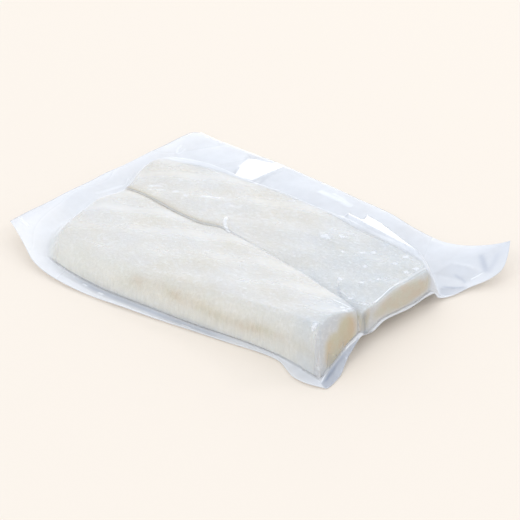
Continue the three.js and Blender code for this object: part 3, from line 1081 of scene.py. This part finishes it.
# Bands of colour along the loins, as (strength, half-width).
SIDE_TAN = (0.75, 5.0)
HOLLOWS = (0.15, 10)
BACK_CREASE_TAN = (0.46, 4.2)
CREASE_TAN = (0.08, 1.6)
# Tan over the slit between the cut ends, strong enough that it also paints the slit's shadow.
SLIT_TAN_AND_SHADOW = (1.3, 5)
# Painted shade along the far loin's far side.
FAR_SIDE_PAINTED_SHADE = (0.5, 7)
NEAR_WALL = {"half_width": 2.4, "tan": 0.1, "back_tan": 0.45}       # where it faces the crease
# Painted shade on the near loin, over its side towards the front and over its cut end.
NEAR_FLESH_PAINTED_SHADE = {"side": 0.5, "end": 0.9}
# Painted shade on the far loin, rising towards its cut end.
FAR_FLESH_PAINTED_SHADE = 0.9
SIDE = {"start": 0.35, "run": 0.8}              # shares of the run over which the side rounds
SIDE_TAN_WEAKENS_BY = 0.5
# Unevenness of the side's tan and of the hollows: its middle, its swing and its lengths.
SIDE_PATCHES = (0.62, 0.3, 13, 8)
HOLLOW_PATCHES = (0.3, 0.7, 24, 15)
SHRED = {"half_width": 1.3, "ragged": 1.3, "length_x": 4, "length_y": 2.5}


def flesh_relief(form, x, y):
    """Dips between flakes and along the fibres, in millimetres."""
    depth = 0.5
    for name, (share, length_x, length_y, slant) in RELIEF.items():
        draw = form.seed + DRAWS[name]
        depth = depth + share * lattice_noise(x + slant * y, y, length_x, length_y, draw)
    return form.relief * clamp01(depth)


def build_loin(name, form, plan):
    x, y = loin_net(form, plan)
    top, bottom = loin_skins(form, plan, x, y)
    fullness = loin_fullness(plan, x, y)
    top = top - flesh_relief(form, x, y) * fullness + np.minimum(film_wrinkles(form, x, y), 0)
    bottom = np.minimum(bottom, top - THINNEST_LOIN)
    piece = closed_shell(name, np.stack([x, y, top], axis=-1), np.stack([x, y, bottom], axis=-1))
    paint_loin(piece, form, plan, x, y, (top, bottom))
    return piece


def cut_core(form, cores, y, z):
    """The tan core of a cut end, from soft ovals over the cut."""
    draw = form.seed + DRAWS["core"]
    ragged = CORE["ragged"] * lattice_noise(y, z, CORE["size_y"], CORE["size_z"], draw)
    core = np.zeros_like(y)
    for middle_y, middle_z, half_width, half_height in cores:
        reach = np.hypot((y - middle_y) / half_width, (z - middle_z) / half_height)
        core = np.maximum(core, 1 - ramp(reach + ragged, CORE["full"], CORE["fade"]))
    return core


def spots(x, y, places):
    """Soft round spots of the given strengths."""
    share = np.zeros_like(x)
    for place_x, place_y, radius, strength in places:
        share = np.maximum(share, strength * bell(np.hypot(x - place_x, y - place_y), radius))
    return share


def shreds_over(form, x, y):
    """Thin ragged shreds of skin, from 0 to 1."""
    draw = form.seed + DRAWS["shreds"]
    ragged = SHRED["ragged"] * lattice_noise(x, y, SHRED["length_x"], SHRED["length_y"], draw)
    share = np.zeros_like(x)
    for route in SHREDS:
        distance, along = near_route(np.stack([x, y], axis=-1), route)
        shred = fading_ends(along, 4) * bell(distance + ragged, SHRED["half_width"])
        share = np.maximum(share, shred)
    return share


def band(distance, kind):
    strength, half_width = kind
    return strength * bell(distance, half_width)


def uneven(x, y, patches, seed):
    """Soft patches, from 0 to 1."""
    middle, swing, length_x, length_y = patches
    return clamp01(middle + swing * lattice_noise(x, y, length_x, length_y, seed))


def back_part(x):
    return ramp(x, *ALONG["back_part"]) * (1 - ramp(x, *ALONG["back_part_ends"]))


def near_masks(form, plan, x, y, z):
    """Tan, painted shade and side masks of the near loin."""
    run = near_side_run(x)
    from_foot = y - near_foot(x)
    side = 1 - ramp(from_foot, SIDE["start"] * run, SIDE["run"] * run)
    shown = (ramp(x, *ALONG["side_tan"])
             * (1 - SIDE_TAN_WEAKENS_BY * ramp(x, *ALONG["side_tan_weakens"])))
    patches = uneven(x, z, SIDE_PATCHES, form.seed + DRAWS["side_patches"])
    side_tan = band(z - side_tan_height(x), SIDE_TAN) * side * patches * shown
    hollows = (band(from_foot - run, HOLLOWS) * (1 - ramp(x, *ALONG["hollows_end"]))
               * uneven(x, y, HOLLOW_PATCHES, form.seed + DRAWS["hollows"]))
    wall = ((NEAR_WALL["tan"] + NEAR_WALL["back_tan"] * back_part(x))
            * bell(plan["far"](x) - y, NEAR_WALL["half_width"]))
    tan = np.maximum(side_tan + hollows + spots(x, y, DARK_SPOTS), wall)
    # Painted shade: greyer over the side towards the front and over the cut end.
    damp = np.maximum(NEAR_FLESH_PAINTED_SHADE["side"] * side * ramp(x, *ALONG["side_painted_shade"]),
                      NEAR_FLESH_PAINTED_SHADE["end"] * ramp(x, *ALONG["end_painted_shade"]))
    return tan, damp, side


def far_masks(form, plan, x, y, z):
    """The same masks of the far loin, which has no side tint."""
    from_crease = y - plan["near"](x)
    tan = (back_part(x) * band(from_crease, BACK_CREASE_TAN) + band(from_crease, CREASE_TAN)
           + ramp(x, *ALONG["slit"]) * band(from_crease, SLIT_TAN_AND_SHADOW))
    # Painted shade: greyer towards the cut end and along the far side.
    damp = np.maximum(FAR_FLESH_PAINTED_SHADE * ramp(x, *ALONG["far_painted_shade"]),
                      band(plan["far"](x) - y, FAR_SIDE_PAINTED_SHADE))
    return tan, damp, np.zeros_like(x)


def paint_loin(piece, form, plan, x, y, skins):
    """Masks for tan flesh, painted shade, the side tint, the rim round the cores, whose grey
    partly paints the cut ends' shade, and the shreds of skin.
    """
    near = piece.name == "near_loin"
    face = ramp(x - cut_foot(y) + CUT_FACE["share"] * cut_run(y), 0, CUT_FACE["run"])
    shreds = np.zeros_like(x) if near else shreds_over(form, x, y)
    masks = []
    for z in skins:
        core = CORE_STRENGTH[piece.name] * cut_core(form, plan["cores"], y, z) * face
        tan, damp, side = (near_masks if near else far_masks)(form, plan, x, y, z)
        masks.append({
            "tan": clamp01(np.maximum(core, tan)), "damp": damp * (1 - face),
            "side": side * (1 - face), "rim": face * (1 - core), "shreds": shreds})
    for name in masks[0]:
        paint(piece, name, np.stack([mask[name] for mask in masks]))


# ---- Salt -------------------------------------------------------------------------------
CRYSTAL_CORNERS = [(i, j, k) for i in (-1, 1) for j in (-1, 1) for k in (-1, 1)]
CRYSTAL_FACES = [(0, 1, 3, 2), (4, 6, 7, 5), (0, 4, 5, 1), (2, 3, 7, 6), (0, 2, 6, 4), (1, 5, 7, 3)]
CRYSTAL = {"ragged": 0.35, "least_side": 0.6}
# The grains of a lump: how many at least, how many more for each millimetre of its width, and
# how far out they lie as a share of its width.
LUMP_GRAINS = {"least": 10, "per_mm": 5, "reach": 0.6, "squash": 0.7, "widths": (0.6, 1.5)}
LOOSE_GRAINS = {"x": (-110, 148), "y": (-98, 56), "widths": (0.6, 1.3), "from_back": 8,
                "from_crease": 3, "front": 40, "elsewhere": 0.25}
# How deep a grain lies under the film: a gap and a share of its width, less where a lump lifts it.
SUNK = {"gap": 0.15, "share": 0.55, "in_bump": 0.5}


def crystal(rng, centre, width):
    """A lopsided cube of salt, as eight points."""
    cube = np.array(CRYSTAL_CORNERS, float)
    turn = np.linalg.qr(rng.normal(size=(3, 3)))[0]
    if np.linalg.det(turn) < 0:
        turn[0] = -turn[0]
    ragged = cube + rng.uniform(-CRYSTAL["ragged"], CRYSTAL["ragged"], cube.shape)
    points = ragged * width / 2 * rng.uniform(CRYSTAL["least_side"], 1, 3)
    return points @ turn.T + centre


def lump_grains(rng):
    """Places and widths of the grains that make up the lumps."""
    grains = []
    for lump_x, lump_y, width in SALT_LUMPS:
        for _ in range(int(LUMP_GRAINS["least"] + LUMP_GRAINS["per_mm"] * width)):
            angle = rng.uniform(0, 2 * np.pi)
            reach = LUMP_GRAINS["reach"] * width * rng.uniform(0, 1)
            x = lump_x + reach * np.cos(angle)
            y = lump_y + LUMP_GRAINS["squash"] * reach * np.sin(angle)
            grains.append((x, y, rng.uniform(*LUMP_GRAINS["widths"])))
    return grains


def loose_grains(rng, count, usual_width):
    """Places and widths of the loose grains: most lie on the front of the far loin."""
    grains = []
    while len(grains) < count:
        x, y = rng.uniform(*LOOSE_GRAINS["x"]), rng.uniform(*LOOSE_GRAINS["y"])
        on_front = x > LOOSE_GRAINS["front"] and y > crease_line(x)
        wanted = rng.uniform() < (1 if on_front else LOOSE_GRAINS["elsewhere"])
        on_loin = back_foot(y) + LOOSE_GRAINS["from_back"] < x
        if wanted and on_loin and abs(y - crease_line(x)) > LOOSE_GRAINS["from_crease"]:
            grains.append((x, y, usual_width * rng.uniform(*LOOSE_GRAINS["widths"])))
    return grains


def build_salt(form, grain_width, grain_count):
    """Lumps and loose grains of salt, joined in one mesh, between flesh and film."""
    rng = np.random.default_rng(form.seed)
    grains = lump_grains(rng) + loose_grains(rng, grain_count, grain_width / MM)
    points = []
    for x, y, width in grains:
        here = np.array([x]), np.array([y])
        sunk = form.square_drop(*here, SUNK["gap"] + SUNK["share"] * width)[0]
        height = form.film_top(*here)[0] - sunk + SUNK["in_bump"] * salt_bumps(*here)[1][0]
        points.append(crystal(rng, (x, y, height), width))
    first_corners = len(CRYSTAL_CORNERS) * np.arange(len(grains))
    faces = np.array(CRYSTAL_FACES) + first_corners[:, None, None]
    return mesh_object("salt_grains", np.concatenate(points), faces.reshape(-1, 4), smooth=False)


# ---- Materials --------------------------------------------------------------------------
def linear(hex_colour):
    """Linear RGBA from an sRGB hex value such as #E4E5E6."""
    channels = [int(hex_colour[i:i + 2], 16) / 255 for i in (1, 3, 5)]
    return (*[c / 12.92 if c <= 0.04045 else ((c + 0.055) / 1.055) ** 2.4 for c in channels], 1)


def new_material(name):
    material = bpy.data.materials.new(name)
    material.use_nodes = True
    material.node_tree.nodes.clear()
    return material, material.node_tree


def add_node(tree, kind, settings=None, inputs=None):
    """Add a shader node with its settings, and its inputs as values or as sockets to link."""
    node = tree.nodes.new(kind)
    for name, value in (settings or {}).items():
        setattr(node, name, value)
    for name, value in (inputs or {}).items():
        if isinstance(value, bpy.types.NodeSocket):
            tree.links.new(value, node.inputs[name])
        else:
            node.inputs[name].default_value = value
    return node


COLOUR_A, COLOUR_B, COLOUR_OUT = 6, 7, 2     # a colour Mix node's sockets, by number


def mask(tree, name):
    """A number painted on the mesh's vertices."""
    return add_node(tree, "ShaderNodeAttribute", {"attribute_name": name}).outputs["Fac"]


def noise(tree, size, stretch_to=(1, 1, 1), detail=2.0, distortion=0.0, roughness=0.5):
    """Noise of about this size in metres, drawn out by these factors along the axes."""
    place = add_node(tree, "ShaderNodeTexCoord").outputs["Object"]
    mapping = add_node(tree, "ShaderNodeMapping", inputs={
        "Vector": place, "Scale": tuple(1 / (size * s) for s in stretch_to)})
    return add_node(tree, "ShaderNodeTexNoise", inputs={
        "Vector": mapping.outputs[0], "Scale": 1.0, "Detail": detail, "Roughness": roughness,
        "Distortion": distortion}).outputs["Fac"]


def spread(tree, value, low, high, to_low=0.0, to_high=1.0):
    """A value between low and high brought to between two others."""
    return add_node(tree, "ShaderNodeMapRange", inputs={
        "Value": value, "From Min": low, "From Max": high, "To Min": to_low,
        "To Max": to_high}).outputs["Result"]


def maths(tree, operation, first, second, clamped=False):
    return add_node(tree, "ShaderNodeMath", {"operation": operation, "use_clamp": clamped}, {
        0: first, 1: second}).outputs[0]


def blend(tree, share, first, second, blend_type="MIX"):
    """Mix two colours."""
    return add_node(tree, "ShaderNodeMix", {"data_type": "RGBA", "blend_type": blend_type}, {
        0: share, COLOUR_A: first, COLOUR_B: second}).outputs[COLOUR_OUT]


def choose(tree, share, first, second):
    """Mix two numbers."""
    return add_node(tree, "ShaderNodeMix", {"data_type": "FLOAT"}, {
        0: share, 2: first, 3: second}).outputs[0]


def mix_shaders(tree, share, first, second):
    return add_node(tree, "ShaderNodeMixShader", inputs={
        0: share, 1: first.outputs[0], 2: second.outputs[0]})


def finish_surface(tree, surface):
    add_node(tree, "ShaderNodeOutputMaterial", inputs={"Surface": surface.outputs[0]})


def film_material(colours):
    """Blown polyamide and polyethylene film: clear where it clings to wet flesh, milky and
    bluish where two layers lie together, with sharp faint reflections."""
    material, tree = new_material("polyamide_pe_film")
    # Clouding from stretching, in patches about 30 mm wide.
    clouding = spread(tree, noise(tree, 0.030, detail=3.0), 0.3, 0.7, 0.88, 1.12)
    milk_share = maths(tree, "MULTIPLY", mask(tree, "milk"), clouding, clamped=True)
    # Wrinkles of 4 mm, finer than the mesh, that break up the reflections.
    bump = add_node(tree, "ShaderNodeBump", inputs={
        "Height": noise(tree, 0.004), "Strength": 0.25, "Distance": 0.0002}).outputs[0]
    # Painted shade: a steep or doubled fold passes less light, and what it passes is bluish grey;
    # the same mask paints the shadows seen through the film.
    painted_shade_share = mask(tree, "shade")
    painted_shade_colour = linear(colours.film_painted_shade)
    milk = blend(tree, painted_shade_share, linear(colours.film_milk), painted_shade_colour)
    passed = blend(tree, painted_shade_share, (1, 1, 1, 1), painted_shade_colour)
    back_scatter = add_node(tree, "ShaderNodeBsdfDiffuse", inputs={"Color": milk})
    through = add_node(tree, "ShaderNodeBsdfTranslucent", inputs={"Color": milk})
    milky = mix_shaders(tree, 0.1, back_scatter, through)
    clear = add_node(tree, "ShaderNodeBsdfTransparent", inputs={"Color": passed})
    body = mix_shaders(tree, milk_share, clear, milky)
    mirror = add_node(tree, "ShaderNodeBsdfGlossy", inputs={
        "Color": (1, 1, 1, 1), "Roughness": mask(tree, "sheen_blur"), "Normal": bump})
    fresnel = add_node(tree, "ShaderNodeFresnel", inputs={"IOR": 1.5, "Normal": bump})
    # The inner side of the film's far skin has no sheen of its own.
    geometry = add_node(tree, "ShaderNodeNewGeometry")
    outer = maths(tree, "SUBTRACT", 1.0, geometry.outputs["Backfacing"])
    outer_gloss = maths(tree, "MULTIPLY", mask(tree, "sheen"), outer)
    sheen = maths(tree, "MULTIPLY", fresnel.outputs[0], outer_gloss)
    finish_surface(tree, mix_shaders(tree, sheen, body, mirror))
    return material


def flesh_material(colours):
    """Salt-cured, part-dried cod flesh: moist and faintly translucent, with a powdery bloom of
    salt, cream patches and fine fibres, and painted shade over parts of it."""
    material, tree = new_material("salt_cured_cod_flesh")

    def grain(size, stretch_to=(1, 1, 1), detail=4.0, distortion=0.0):
        return noise(tree, size, stretch_to, detail, distortion, roughness=0.55)

    def tint(share, colour, hex_colour):
        return blend(tree, share, colour, linear(hex_colour))

    side = mask(tree, "side")
    # Cream tints in soft patches of about 26 mm.
    patches = spread(tree, grain(0.026, (1.6, 1, 1), 3.0, 0.4), 0.3, 0.7)
    colour = tint(patches, linear(colours.flesh_cool), colours.flesh_warm)
    colour = tint(side, colour, colours.flesh_side)
    # Painted shade, broken up in patches of about 20 mm.
    painted_shade_flesh_breaks = spread(tree, grain(0.02), 0.3, 0.7, 0.35, 0.75)
    damp = maths(tree, "MULTIPLY", mask(tree, "damp"), painted_shade_flesh_breaks)
    colour = tint(damp, colour, colours.flesh_damp)
    # The tan of salt-free flesh breaks up along the fibres, which stand upright in the side.
    tan_breaks = spread(tree, grain(0.0022, (1, 1, 5.0), 3.0), 0.3, 0.65, 0.6, 1.05)
    tan = maths(tree, "MULTIPLY", mask(tree, "tan"), choose(tree, side, 1.0, tan_breaks))
    # Amber patches of about 11 mm within the tan.
    amber = spread(tree, grain(0.011, detail=2.0), 0.4, 0.65)
    colour = blend(tree, tan, colour, tint(amber, linear(colours.flesh_tan), colours.flesh_amber))
    # The rim's grey also paints the cut ends' shade.
    colour = tint(maths(tree, "MULTIPLY", mask(tree, "rim"), 0.8), colour, colours.flesh_rim)
    # Powdery salt in specks of 1 to 3 mm, and the moist gaps between them.
    bloom = spread(tree, grain(0.0022, (1.4, 1, 1), 6.0, 0.3), 0.5, 0.68, 0.0, 0.42)
    bloom = maths(tree, "MULTIPLY", bloom, spread(tree, mask(tree, "tan"), 0.0, 0.7, 1.0, 0.1))
    bloom = maths(tree, "MULTIPLY", bloom, spread(tree, side, 0.0, 1.0, 1.0, 0.55))
    colour = tint(bloom, colour, colours.salt)
    colour = tint(maths(tree, "MULTIPLY", mask(tree, "shreds"), 0.7), colour, colours.salt)
    # Muscle fibres, drawn 1.4 mm apart, coarser than the real 0.3 mm so that they show.
    fibres_top = spread(tree, grain(0.0014, (2.4, 1, 1)), 0.3, 0.7, 0.93, 1.03)
    fibres_side = spread(tree, grain(0.0014, (1, 1, 6.0)), 0.3, 0.7, 0.90, 1.05)
    fibres = choose(tree, side, fibres_top, fibres_side)
    grey = add_node(tree, "ShaderNodeCombineColor", inputs={0: fibres, 1: fibres, 2: fibres})
    colour = blend(tree, 1.0, colour, grey.outputs[0], "MULTIPLY")
    bump = add_node(tree, "ShaderNodeBump", inputs={
        "Height": grain(0.0014, (2.0, 1, 1), 5.0), "Strength": 0.5, "Distance": 0.0003})
    finish_surface(tree, add_node(tree, "ShaderNodeBsdfPrincipled", inputs={
        "Base Color": colour, "Roughness": 0.65, "IOR": 1.4, "Specular IOR Level": 0.25,
        "Subsurface Weight": 0.25, "Subsurface Radius": (1.0, 0.75, 0.5),
        "Subsurface Scale": 0.002, "Normal": bump.outputs[0]}))
    return material


def salt_material(colours):
    """Coarse sea salt, crushed: white from its inner cracks, with small bright faces."""
    material, tree = new_material("crushed_sea_salt")
    cracks = spread(tree, noise(tree, 0.0006), 0.0, 1.0, 0.94, 1.04)
    colour = blend(tree, 1.0, linear(colours.salt), cracks, "MULTIPLY")
    finish_surface(tree, add_node(tree, "ShaderNodeBsdfPrincipled", inputs={
        "Base Color": colour, "Roughness": 0.25, "IOR": 1.54}))
    return material


def floor_material(colours):
    """Matt painted board, rolled: even and without sheen."""
    material, tree = new_material("matt_painted_board")
    finish_surface(tree, add_node(tree, "ShaderNodeBsdfDiffuse", inputs={
        "Color": linear(colours.floor)}))
    return material


# ---- Stage ------------------------------------------------------------------------------
# A lamp's name, the setting of its power, where it stands, as degrees about the vertical from +X
# and above the floor and metres from the pouch, and its width and height in metres.
Softbox = namedtuple("Softbox", "name power azimuth elevation distance width height")
SOFTBOXES = [
    Softbox("key_softbox", "key_power", 122.5, 49, 6, 3.8, 3.8),
    Softbox("fill_softbox", "fill_power", -80, 32, 6, 4.5, 3.0),
    Softbox("low_window", "window_power", 129, 12.5, 3, 0.94, 0.68),
    Softbox("strip_light", "strip_power", 57, 33, 3, 0.5, 0.35),
]
SENSOR_WIDTH = 36
FARTHEST_VIEW = 50


def direction(azimuth, elevation):
    """Unit vector at a turn from +X and an angle above the floor."""
    outward = math.cos(elevation)
    return Vector((outward * math.cos(azimuth), outward * math.sin(azimuth), math.sin(elevation)))


def facing(item, place, target):
    """Put a camera or a light at a place, looking at a target."""
    item.location = place
    item.rotation_euler = (target - place).to_track_quat("-Z", "Y").to_euler()


def add_camera(stage):
    data = bpy.data.cameras.new("camera")
    data.lens = stage.focal_length
    data.sensor_width = SENSOR_WIDTH
    data.clip_end = FARTHEST_VIEW
    camera = add_object("camera", data)
    aim = Vector(stage.aim)
    back = direction(stage.azimuth - math.pi / 2, stage.elevation)
    facing(camera, aim + back * stage.distance, aim)
    bpy.context.scene.camera = camera


def add_softbox(softbox, power):
    data = bpy.data.lights.new(softbox.name, "AREA")
    data.shape = "RECTANGLE"
    data.size = softbox.width
    data.size_y = softbox.height
    data.energy = power
    towards = direction(math.radians(softbox.azimuth), math.radians(softbox.elevation))
    facing(add_object(softbox.name, data), towards * softbox.distance, Vector((0, 0, 0)))


def add_floor(stage, colours):
    half = stage.floor_size / 2
    mesh = bpy.data.meshes.new("floor")
    corners = [(-half, -half, 0), (half, -half, 0), (half, half, 0), (-half, half, 0)]
    mesh.from_pydata(corners, [], [(0, 1, 2, 3)])
    mesh.materials.append(floor_material(colours))
    floor = add_object("floor", mesh)


def add_surroundings(stage, colours):
    world = bpy.data.worlds.new("surroundings")
    world.use_nodes = True
    background = world.node_tree.nodes["Background"]
    background.inputs["Color"].default_value = linear(colours.sky)
    background.inputs["Strength"].default_value = stage.sky_strength
    bpy.context.scene.world = world


# ---- Operators --------------------------------------------------------------------------
class SALTCOD_OT_stage(bpy.types.Operator):
    """Add the camera, the floor and the studio lights"""

    bl_idname = "saltcod.stage"
    bl_label = "Stage"

    def execute(self, context):
        stage = context.scene.salt_cod_stage
        colours = context.scene.salt_cod_colours
        add_camera(stage)
        add_floor(stage, colours)
        add_surroundings(stage, colours)
        for softbox in SOFTBOXES:
            add_softbox(softbox, getattr(stage, softbox.power))
        context.scene.view_settings.view_transform = "Standard"
        return {"FINISHED"}


class SALTCOD_OT_pouch_film(bpy.types.Operator):
    """Build the clear vacuum film round the loins"""

    bl_idname = "saltcod.pouch_film"
    bl_label = "Pouch film"

    def execute(self, context):
        film = build_film(PouchForm(context.scene.salt_cod_shape))
        film.data.materials.append(film_material(context.scene.salt_cod_colours))
        put_in_pouch(film)
        return {"FINISHED"}


class SALTCOD_OT_loins(bpy.types.Operator):
    """Build the two salt cod loins"""

    bl_idname = "saltcod.loins"
    bl_label = "Cod loins"

    def execute(self, context):
        form = PouchForm(context.scene.salt_cod_shape)
        flesh = flesh_material(context.scene.salt_cod_colours)
        for name, plan in LOINS.items():
            loin = build_loin(name, form, plan)
            loin.data.materials.append(flesh)
            put_in_pouch(loin)
        return {"FINISHED"}


class SALTCOD_OT_salt_grains(bpy.types.Operator):
    """Scatter lumps and grains of salt between the flesh and the film"""

    bl_idname = "saltcod.salt_grains"
    bl_label = "Salt grains"

    def execute(self, context):
        shape = context.scene.salt_cod_shape
        salt = build_salt(PouchForm(shape), shape.grain_width, shape.grain_count)
        salt.data.materials.append(salt_material(context.scene.salt_cod_colours))
        put_in_pouch(salt)
        return {"FINISHED"}


def put_in_pouch(piece):
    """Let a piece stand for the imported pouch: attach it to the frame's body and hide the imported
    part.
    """
    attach(piece, BODY)
    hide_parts(POUCH_NODE)


class SALTCOD_PT_panel(bpy.types.Panel):
    """Lists the builders and their settings"""

    bl_idname = "SALTCOD_PT_panel"
    bl_label = "Salt cod"
    bl_space_type = "VIEW_3D"
    bl_region_type = "UI"
    bl_category = "Salt cod"

    def draw(self, context):
        for operator in OPERATORS:
            self.layout.operator(operator.bl_idname)
        for name in SETTINGS:
            group = getattr(context.scene, name)
            box = self.layout.box()
            for setting in group.bl_rna.properties:
                if setting.identifier in type(group).__annotations__:
                    box.prop(group, setting.identifier)


OPERATORS = (SALTCOD_OT_stage, SALTCOD_OT_pouch_film, SALTCOD_OT_loins, SALTCOD_OT_salt_grains)
SETTINGS = {
    "salt_cod_shape": SaltCodShape,
    "salt_cod_colours": SaltCodColours,
    "salt_cod_stage": SaltCodStage,
}


def register():
    for group in (*SETTINGS.values(), *OPERATORS, SALTCOD_PT_panel):
        bpy.utils.register_class(group)
    for name, group in SETTINGS.items():
        setattr(bpy.types.Scene, name, bpy.props.PointerProperty(type=group))


def unregister():
    for name in SETTINGS:
        delattr(bpy.types.Scene, name)
    for group in (SALTCOD_PT_panel, *reversed(OPERATORS), *SETTINGS.values()):
        bpy.utils.unregister_class(group)


def main():
    register()
    bpy.ops.saltcod.stage()
    bpy.ops.saltcod.pouch_film()
    bpy.ops.saltcod.loins()
    bpy.ops.saltcod.salt_grains()


if __name__ == "__main__":
    main()
